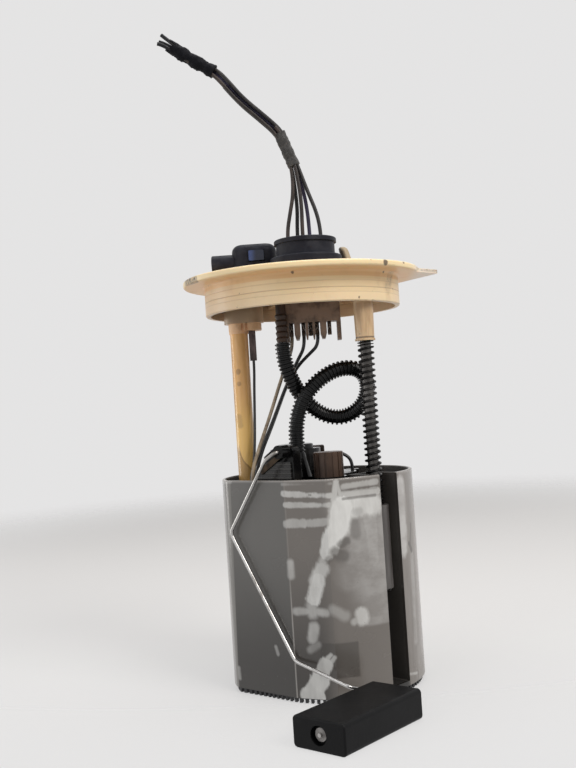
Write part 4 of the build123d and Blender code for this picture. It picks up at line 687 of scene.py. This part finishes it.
crimp_places = (-9.1, -2.2, 1.8, 5.7, 12.7)
crimp_y, crimp_bottom, crimp_pin_end, crimp_top = -7.0 * mm, 197.0 * mm, 204.6 * mm, 237.6 * mm
crimp_bar_z, crimp_shade_sheet_z = 202.2 * mm, 201.3 * mm
crimp_bar, crimp_shade_sheet = (0.55 * mm, 1.1 * mm, 4.6 * mm), (2.3 * mm, 0.3 * mm, 7.0 * mm)
crimp_roll_radius, crimp_roll_length = 1.12 * mm, 2.9 * mm
bpy.ops.mesh.primitive_cube_add(size=1, location=(0, crimp_y, (crimp_top + crimp_pin_end) / 2),
                                scale=(1.5 * mm, 0.8 * mm, crimp_top - crimp_pin_end))
crimp = start_piece("crimp_1")
for tilt in (22, -22):
    bpy.ops.mesh.primitive_cube_add(size=1, location=(0, crimp_y, crimp_bar_z), rotation=(0, radians(tilt), 0),
                                    scale=crimp_bar)
# A thin sheet behind the folds, painted near black as their shadow.
bpy.ops.mesh.primitive_cube_add(size=1, location=(0, crimp_y + 1.3 * mm, crimp_shade_sheet_z), scale=crimp_shade_sheet)
bpy.ops.mesh.primitive_cylinder_add(vertices=14, radius=crimp_roll_radius, depth=crimp_roll_length,
                                    location=(0, crimp_y, crimp_bottom + crimp_roll_length / 2))
pick("VERT", lambda v: v.co.z < 200.2 * mm and v.co.y < crimp_y - 0.9 * mm and abs(v.co.x) < 0.3 * mm)
bpy.ops.transform.translate(value=(0, 0.55 * mm, 0))
crimp_round = crimp.modifiers.new("rolled", "BEVEL")
crimp_round.width = 0.1 * mm
crimp_round.segments = 2
crimp_round.angle_limit = radians(50)
stained_tin = Finish("tin_stained")
# Painted shadow: the sheet behind the folds is near black.
painted_crimp_shadow = stained_tin.fade(stained_tin.y, crimp_y + 0.9 * mm, crimp_y + 1.1 * mm)
crimp_dull = stained_tin.patches(0.42, 0.7, 0.0015, 4)
stained_tin.coat(stained_tin.layers((0.26, 0.21, 0.175), (crimp_dull, (0.1, 0.075, 0.06)),
                                    (painted_crimp_shadow * 0.9, (0.008, 0.007, 0.007))), 0.42, 0.5)
end_piece(crimp, stained_tin)
crimps = [crimp]
for number in range(2, len(crimp_places) + 1):
    one = crimp.copy()
    one.data = crimp.data.copy()
    one.name = f"crimp_{number}"
    bpy.context.scene.collection.objects.link(one)
    crimps.append(one)
for one, crimp_x in zip(crimps, crimp_places):
    one.data.transform(Matrix.Translation((crimp_x * mm, 0, 0)))
    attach(one, "flange")
    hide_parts("crimp_terminals")

# ------------ outlet nipple and corrugated hose
# A brown barbed nipple hangs from the deck. From it a black corrugated hose makes a loop down to the nipple on
# the canister's lid. Its folds are 2.1 mm apart.
dress(brown, "outlet_nipple")


def lay_route(name, points, **settings):
    """A smooth line over a route's points, which are in millimetres."""
    line = bpy.data.curves.new(name, "CURVE")
    line.dimensions = "3D"
    run = line.splines.new("NURBS")
    run.points.add(len(points) - 1)
    for knot, point in zip(run.points, points):
        knot.co = (*(Vector(point) * mm), 1)
    run.order_u = 3
    run.use_endpoint_u = True
    line.resolution_u = 10
    for setting, value in settings.items():
        setattr(line, setting, value)
    made = bpy.data.objects.new(name, line)
    bpy.context.scene.collection.objects.link(made)
    return made


def bend_along(piece, points, first=()):
    """Applies the modifiers named first, then bends a straight open piece along a route and opens it again."""
    bpy.ops.object.mode_set(mode="OBJECT")
    route = lay_route(piece.name + "_route", points, use_stretch=True, use_deform_bounds=True)
    piece.modifiers.new("bend", "CURVE").object = route
    for step in (*first, "bend"):
        bpy.ops.object.modifier_apply(modifier=step)
    bpy.data.objects.remove(route)
    bpy.ops.object.mode_set(mode="EDIT")


hose_top, hose_bottom = 193.3 * mm, 131.6 * mm
hose_points = (
    (-14.4, -17.0, 193.3), (-14.4, -17.0, 185.6), (-12.0, -14.4, 175.6), (-7.6, -10.6, 165.6),
    (-0.8, -7.6, 156.4), (7.4, -6.6, 150.8), (16.2, -7.0, 149.2), (24.2, -8.0, 152.0), (29.6, -9.5, 157.2),
    (32.2, -11.0, 164.6), (31.0, -12.0, 172.0), (26.8, -13.0, 176.2), (20.4, -14.5, 177.4),
    (13.0, -16.0, 176.0), (5.6, -17.5, 172.0), (-1.0, -18.8, 166.2), (-5.8, -19.5, 159.2),
    (-8.6, -19.4, 151.6), (-9.8, -18.8, 144.6), (-10.0, -18.0, 138.6), (-10.0, -18.0, 131.6),
)
hose_folds, hose_fold, hose_radius = 76, 2.1 * mm, 4.5 * mm
bpy.ops.mesh.primitive_cylinder_add(vertices=20, radius=hose_radius * 0.8, depth=hose_fold, end_fill_type="NOTHING",
                                    location=(hose_fold / 2, 0, 0), rotation=(0, pi / 2, 0))
hose = start_piece("corrugated_hose_wall")
for share in (0.2, 0.34, 0.66, 0.8):
    cut((share * hose_fold, 0, 0), (1, 0, 0))
pick("VERT", lambda v: 0.3 * hose_fold < v.co.x < 0.7 * hose_fold)
bpy.ops.transform.resize(value=(1, 1.25, 1.25), center_override=(0, 0, 0))
hose_row = hose.modifiers.new("folds", "ARRAY")
hose_row.count = hose_folds
hose_row.use_merge_vertices = True
hose_row.merge_threshold = 0.02 * mm
bend_along(hose, hose_points, ["folds"])
for hose_end in (hose_top, hose_bottom):
    pick("EDGE", lambda e: e.is_boundary and abs(e.verts[0].co.z - hose_end) < 2 * mm)
    bpy.ops.mesh.edge_face_add()
bpy.ops.mesh.select_all(action="SELECT")
bpy.ops.mesh.normals_make_consistent(inside=False)
hose_black = worn_finish("hose_black", (0.003, 0.003, 0.0032), (0.014, 0.0135, 0.0135),
                         (0.5, 0.75, 0.003, 4, 0.6), 0.26, share=0.5, rougher=0.22, grain=(0.0006, 2),
                         height=0.00002, shine=0.25)
end_piece(hose, hose_black, 60)
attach(hose, "reservoir")
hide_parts("corrugated_hose")
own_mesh(hose)

# ------------ leads inside
# Thin insulated leads run from the terminals and the blade behind the hose to the sender's plug, one of them
# beige and the rest black. A short one loops from the pump's plug to the lid's lug.
leads_foot = 112.0 * mm
black_sheath = worn_finish("wire_black", (0.012, 0.012, 0.013), (0.05, 0.046, 0.044), (0.5, 0.74, 0.002, 4), 0.34,
                           share=0.5, grain=(0.0005, 2), height=0.00002)
beige_sheath = worn_finish("wire_beige", (0.36, 0.28, 0.19), (0.13, 0.095, 0.065), (0.42, 0.68, 0.003, 4), 0.4,
                           grain=(0.0005, 2), height=0.00002)


def lay_lead(name, points, radius, finish):
    """A round lead along its route, as a mesh."""
    lead = lay_route(name, points, bevel_depth=radius * mm, bevel_resolution=2, use_fill_caps=True)
    lead.select_set(True)
    bpy.context.view_layer.objects.active = lead
    bpy.ops.object.convert(target="MESH")
    end_piece(bpy.context.object, finish, 60)
    return bpy.context.object


for name, slot, finish, radius, points in (
    ("sender_lead_a", "wire_beige", beige_sheath, 1.0, (
        (-9.1, -7.0, 197.0), (-9.1, -7.0, 191.2), (-12.8, -5.4, 183.0), (-17.4, -4.6, 172.0), (-21.8, -4.8, 160.2),
        (-26.4, -6.2, 148.2), (-31.2, -9.2, 136.4), (-35.0, -13.0, 126.0), (-36.3, -15.2, 119.0),
        (-36.3, -15.2, 112.0))),
    ("sender_lead_b", "wire_black", black_sheath, 1.0, (
        (-2.2, -7.0, 197.0), (-2.2, -7.0, 191.0), (-6.4, -3.4, 184.2), (-11.6, -0.8, 174.8), (-17.4, 0.4, 163.0),
        (-22.8, -0.2, 150.6), (-28.6, -2.6, 138.4), (-34.4, -7.2, 127.0), (-37.2, -12.2, 118.8),
        (-37.2, -12.2, 112.0))),
    ("pump_lead", "wire_black", black_sheath, 1.0, (
        (5.7, -7.0, 197.0), (5.7, -7.0, 191.6), (0.6, -3.6, 187.2), (-7.0, 0.4, 180.6), (-14.2, 3.2, 169.8),
        (-19.6, 4.4, 157.4), (-25.0, 3.6, 145.0), (-30.4, 0.4, 133.6), (-33.4, -6.0, 124.0),
        (-34.3, -13.2, 117.4), (-34.3, -13.2, 112.0))),
    ("ground_lead", "wire_black", black_sheath, 0.8, (
        (-33.0, 14.0, 186.0), (-33.0, 14.0, 180.4), (-33.6, 12.4, 170.0), (-34.2, 9.8, 154.0), (-34.8, 5.4, 138.4),
        (-35.8, -1.2, 125.4), (-35.6, -9.9, 117.6), (-35.6, -9.9, 112.0))),
):
    lead = lay_lead(name + "_wire", points, radius, finish)
    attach(lead, "reservoir")
    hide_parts(name)
    lead_rise = points[0][2] * mm - leads_foot
    (lead_rise - 0.045) / lead_rise
    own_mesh(lead)
loop_lead = lay_lead("pump_loop_lead_wire", (
    (5.5, 20.0, 128.6), (10.8, 20.0, 128.6), (17.0, 20.2, 127.4), (21.5, 20.0, 123.2), (21.5, 20.0, 118.0)),
                     1.0, black_sheath)
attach(loop_lead, "reservoir")
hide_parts("pump_loop_lead")

# ------------ plug, its latch and the supply connector
# A round black plug snaps over the deck's socket. Beside it the supply line's swivel connector stands, with a
# dark blue release button. Both are dusty and dull.
plug_black = worn_finish("connector_grey", (0.012, 0.0125, 0.019), (0.032, 0.034, 0.044), (0.42, 0.7, 0.005, 4, 0.62),
                         0.42, share=0.75, rougher=0.2, grain=(0.0012, 3), height=0.00005, shine=0.14)
dress(plug_black, "connector_plug", "plug_latch", "supply_connector")
blue = Finish("button_blue")
# Painted glint: the button's left end is painted a lighter, brighter blue.
blue_glint = blue.fade(blue.x + blue.noise(0.002, 3) * 0.002, -0.0262, -0.0295)
blue.coat(blue.blend(blue_glint * 0.6, (0.012, 0.016, 0.034), (0.06, 0.1, 0.28)), 0.24,
          relief=blue.noise(0.001, 2) * 0.00003)
dress(blue, "release_button")

# ------------ harness tape
# Grey woven tape with a fuzzy nap, wound in laps round the five wires above the plug, its end left as a small
# flap. Heights in the harness are above the plug's top.
plug_top = 252.4
tape_length, tape_threads = 21, 9000
bundle_points = ((-1.6, -6.0, 43.0), (-5.1, -6.0, 52.6), (-9.0, -6.0, 62.7))


def above_plug(point):
    """A harness point in the part's own frame, in millimetres."""
    return (point[0], point[1], plug_top + point[2])


def start_sleeve(name, radius, length):
    """A straight open sleeve along X with a ring each millimetre, open for editing."""
    bpy.ops.mesh.primitive_cylinder_add(vertices=20, radius=radius * mm, depth=length * mm, end_fill_type="NOTHING",
                                        location=(length * mm / 2, 0, 0), rotation=(0, pi / 2, 0))
    sleeve = start_piece(name)
    for ring in range(1, length):
        cut((ring * mm, 0, 0), (1, 0, 0))
    return sleeve


def draw_in(end_x, near, pinch):
    """Turns the open edge at one end of a sleeve inwards."""
    pick("EDGE", lambda e: e.is_boundary and abs(e.verts[0].co.x - end_x) < near)
    bpy.ops.mesh.extrude_edges_move()
    bpy.ops.transform.resize(value=(1, pinch, pinch), center_override=(end_x, 0, 0))


tape = start_sleeve("harness_tape_weave", 3.35, tape_length)
for lap in (0, 7, 14):
    pick("VERT", lambda v: (lap - 0.3) * mm < v.co.x < (lap + 3.4) * mm)
    bpy.ops.transform.resize(value=(1, 1.07, 1.07), center_override=(0, 0, 0))
bpy.ops.mesh.select_all(action="SELECT")
bpy.ops.transform.vertex_random(offset=0.16 * mm, uniform=0.4, normal=0.6, seed=4)
pick("FACE", lambda f: (tape_length - 2) * mm < f.calc_center_median().x and f.normal.z > 0.6)
draw_out((0.6 * mm, 0, 0.5 * mm))
bpy.ops.transform.resize(value=(1, 0.8, 0.6))
for tape_end in (0, tape_length * mm):
    draw_in(tape_end, 1 * mm, 0.5)
bend_along(tape, [above_plug(point) for point in bundle_points])
woven = Finish("tape_grey")
tape_across = (woven.x * 0.35 + woven.z).wave(tape_threads)
tape_along = (woven.x - woven.z * 0.35 + woven.y * 0.5).wave(tape_threads)
tape_weave = woven.fade(tape_across * tape_along, -0.4, 0.5)
tape_nap = woven.noise(0.0012, 4, 0.7)
woven.coat(woven.blend(woven.fade(tape_nap, 0.35, 0.7), (0.028, 0.027, 0.027), (0.085, 0.082, 0.08)),
           0.95, relief=tape_weave * 0.00008 + tape_nap * 0.00016, more={"Sheen Weight": 0.3})
end_piece(tape, woven, 60)
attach(tape, "flange")
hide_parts("harness_tape")

# ------------ harness wrap
# A black cloth wrap, soaked and lumpy, torn off at its end, round the three wires that go on. Its torn edge
# stands out in threads.
tail_points = ((-18.3, -6.0, 72.1), (-30.3, -6.0, 83.4), (-37.8, -6.0, 93.3))
wrap_points = ((-44.3, -6.0, 100.8), (-57.7, -6.0, 108.7), (-71.0, -6.0, 119.2))
wrap_length = 33
wrap = start_sleeve("harness_wrap_cloth", 3.7, wrap_length)
for lump_x, lump_size in ((2, 1.1), (8, 0.94), (14, 1.08), (20, 0.92), (26, 1.1), (31, 1.0)):
    pick("VERT", lambda v: (lump_x - 2.4) * mm < v.co.x < (lump_x + 2.4) * mm)
    bpy.ops.transform.resize(value=(1, lump_size, lump_size), center_override=(0, 0, 0))
bpy.ops.mesh.select_all(action="SELECT")
bpy.ops.transform.vertex_random(offset=0.42 * mm, uniform=0.3, normal=0.7, seed=9)
bpy.ops.mesh.vertices_smooth(factor=0.4, repeat=1)
for tear, reach in ((0.0, 1.6), (1.4, 6.2), (2.4, 1.2), (3.2, 3.4), (4.6, 5.0), (5.6, 1.4)):
    pick("VERT", lambda v: v.co.x > (wrap_length - 0.5) * mm and (
        Vector((cos(tear), sin(tear))).dot(Vector((v.co.y, v.co.z)).normalized()) > 0.86))
    bpy.ops.transform.translate(value=(reach * mm, 0, 0))
for wrap_end, pinch in ((0, 0.55), (wrap_length * mm, 0.7)):
    draw_in(wrap_end, 4 * mm, pinch)
bend_along(wrap, [above_plug(point) for point in wrap_points])
cloth = Finish("cloth_black")
wrap_folds = cloth.noise(0.003, 4, 0.65)
wrap_grain = cloth.noise(0.0007, 3, 0.6)
cloth.coat(cloth.blend(cloth.fade(wrap_folds, 0.45, 0.75), (0.0025, 0.0025, 0.0045), (0.011, 0.011, 0.015)),
           0.62 + wrap_grain * 0.25, relief=wrap_folds * 0.0007 + wrap_grain * 0.00012, shine=0.15)
end_piece(wrap, cloth, 60)
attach(wrap, "flange")
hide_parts("harness_wrap")

# ------------ harness wires
# Five wires, cut off, rise from the plug into one bundle. One ends above the tape, one halfway and three in the
# wrap's torn end. Soft insulation, dull with dust.
bundle_lean, bundle_radius = radians(38), 2.1
into_wrap = (*tail_points, *wrap_points)
# Each wire: its way up out of the plug, its place round the bundle, its way on, its length, and its colours when
# clean and when worn.
wires = (
    (((11.1, -6.0, 0), (11.1, -6.0, 6.2), (9.4, -6.0, 16.0), (5.4, -6.0, 27.2)), 90,
     (*into_wrap, (-75.2, -6.0, 123.2)), 157.0, "wire_grey", (0.016, 0.0145, 0.0145), (0.042, 0.037, 0.036)),
    (((4.8, -3.2, 0), (4.8, -3.2, 6.8), (4.3, -3.3, 18.0), (2.6, -3.8, 30.4)), 18,
     (*into_wrap, (-75.8, -5.2, 121.2)), 154.6, "wire_violet", (0.022, 0.019, 0.04), (0.06, 0.05, 0.11)),
    (((0.8, -9.4, 0), (0.8, -9.4, 7.2), (1.2, -9.1, 19.0), (0.5, -8.5, 31.4)), 162,
     ((-11.6, -6.0, 65.5),), 68.3, "wire_brown", (0.02, 0.0145, 0.013), (0.05, 0.034, 0.029)),
    (((-2.2, -4.4, 0), (-2.2, -4.4, 6.6), (-1.3, -4.4, 18.2), (-1.9, -4.6, 30.8)), 306,
     tail_points, 105.0, "wire_black", (0.007, 0.007, 0.0075), (0.025, 0.024, 0.023)),
    (((-7.8, -8.2, 0), (-7.8, -8.2, 5.4), (-5.7, -7.9, 15.2), (-3.0, -7.6, 27.0)), 234,
     (*into_wrap, (-74.6, -7.0, 119.8)), 151.4, "wire_beige", (0.022, 0.017, 0.015), (0.058, 0.043, 0.037)),
)


def beside(point, turn):
    """A wire's own place round the bundle."""
    aside = bundle_radius * sin(radians(turn))
    return (point[0] + aside * cos(bundle_lean), point[1] + bundle_radius * cos(radians(turn)),
            point[2] + aside * sin(bundle_lean))


for number, (rise, turn, tail, length, slot, clean, worn) in enumerate(wires, start=1):
    wire_points = [above_plug(p) for p in (*rise, *(beside(point, turn) for point in (*bundle_points, *tail)))]
    wire = lay_route(f"harness_wire_{number}_lead", wire_points, bevel_depth=1.1 * mm, bevel_resolution=3,
                     use_fill_caps=True)
    sheath = Finish("harness_" + slot)
    wire_wear = sheath.patches(0.4, 0.7, 0.003, 4, 0.6, (1, 1, 3))
    wire_soaked = sheath.fade(sheath.x, -0.066, -0.071)
    sheath.coat(sheath.layers(clean, (wire_wear, worn), (wire_soaked, (0.005, 0.005, 0.007))),
                0.36 + wire_wear * 0.12, relief=sheath.noise(0.0006, 2) * 0.00003, shine=0.3)
    wire.data.materials.append(sheath.material)
    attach(wire, "flange")
    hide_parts(f"harness_wire_{number}")
    length * mm
    [tape] if number in (3, 4) else [tape, wrap]

# ------------ table, backdrop and light
# A pale, dull table that runs on into a white background, under soft studio light from the upper right and from
# above, with a wide fill from the left and a low lamp at the left side.
bpy.ops.mesh.primitive_plane_add(size=6, location=(0, 0.6, 0))
table = bpy.context.object
table.name = "table"
tabletop = Finish("table")
table_cloud = tabletop.noise(0.5, 2)
table_color = tabletop.blend(table_cloud, (0.8, 0.79, 0.78), (0.75, 0.74, 0.735))
table_shine = tabletop.node("BsdfPrincipled", {}, {"Base Color": table_color, "Roughness": 0.5,
                                                   "Specular IOR Level": 0.2})
table_far = tabletop.node("VectorMath", {"operation": "LENGTH"}, {0: tabletop.place}, "Value")
table_clear = tabletop.node("BsdfTransparent")
table_edge = tabletop.node("MixShader", {}, {0: tabletop.fade(table_far, 0.2, 0.9), 1: table_shine,
                                             2: table_clear})
tabletop.node("OutputMaterial", {}, {"Surface": table_edge})
table.data.materials.append(tabletop.material)

studio = Finish("studio", bpy.data.worlds)
bpy.context.scene.world = studio.material
studio_seen = studio.node("LightPath", output="Is Camera Ray") | studio.node("LightPath", output="Is Glossy Ray")
studio_light = studio.node("Background", {}, {"Color": (1.0, 0.985, 0.97, 1), "Strength": 0.4})
studio_back = studio.node("Background", {}, {"Color": (0.78, 0.775, 0.775, 1)})
studio.node("OutputWorld", {}, {"Surface": studio.node("MixShader", {}, {0: studio_seen, 1: studio_light,
                                                                         2: studio_back})})

for name, place, size, watts, color in (
    ("key", (0.75, -0.75, 0.95), 0.6, 9.5, (1.0, 0.97, 0.93)),
    ("fill", (-0.95, -0.85, 0.55), 0.9, 2.8, (0.95, 0.97, 1.0)),
    ("side", (-1.05, 0.25, 0.16), 0.4, 2.0, (1.0, 0.98, 0.95)),
    ("top", (0.0, 0.15, 1.25), 0.8, 6.0, (1.0, 1.0, 1.0)),
):
    bpy.ops.object.light_add(type="AREA", location=place)
    lamp = bpy.context.object
    lamp.name = name
    lamp.data.size = size
    lamp.data.energy = watts
    lamp.data.color = color
    lamp.rotation_euler = (Vector((0, 0, 0.13)) - Vector(place)).to_track_quat("-Z", "Y").to_euler()

# ------------ camera
# Level with the cup's upper half, a little turned and tilted, 46.8 mm lens on a 36 mm frame's long side.
yaw, pitch, roll = radians(-1.312), radians(1.34), radians(-3.66)
ahead = Vector((sin(yaw) * cos(pitch), cos(yaw) * cos(pitch), sin(pitch)))
level = Vector((cos(yaw), -sin(yaw), 0))
upright = level.cross(ahead)
side = level * cos(roll) + upright * sin(roll)
lift = upright * cos(roll) - level * sin(roll)
bpy.ops.object.camera_add(location=(0, -0.5781, 0.1570))
camera = bpy.context.object
camera.rotation_euler = Matrix((side, lift, -ahead)).transposed().to_euler()
camera.data.lens = 46.82
camera.data.sensor_width = 36
camera.data.clip_start = 0.01
bpy.context.scene.camera = camera
bpy.context.scene.view_settings.view_transform = "Standard"
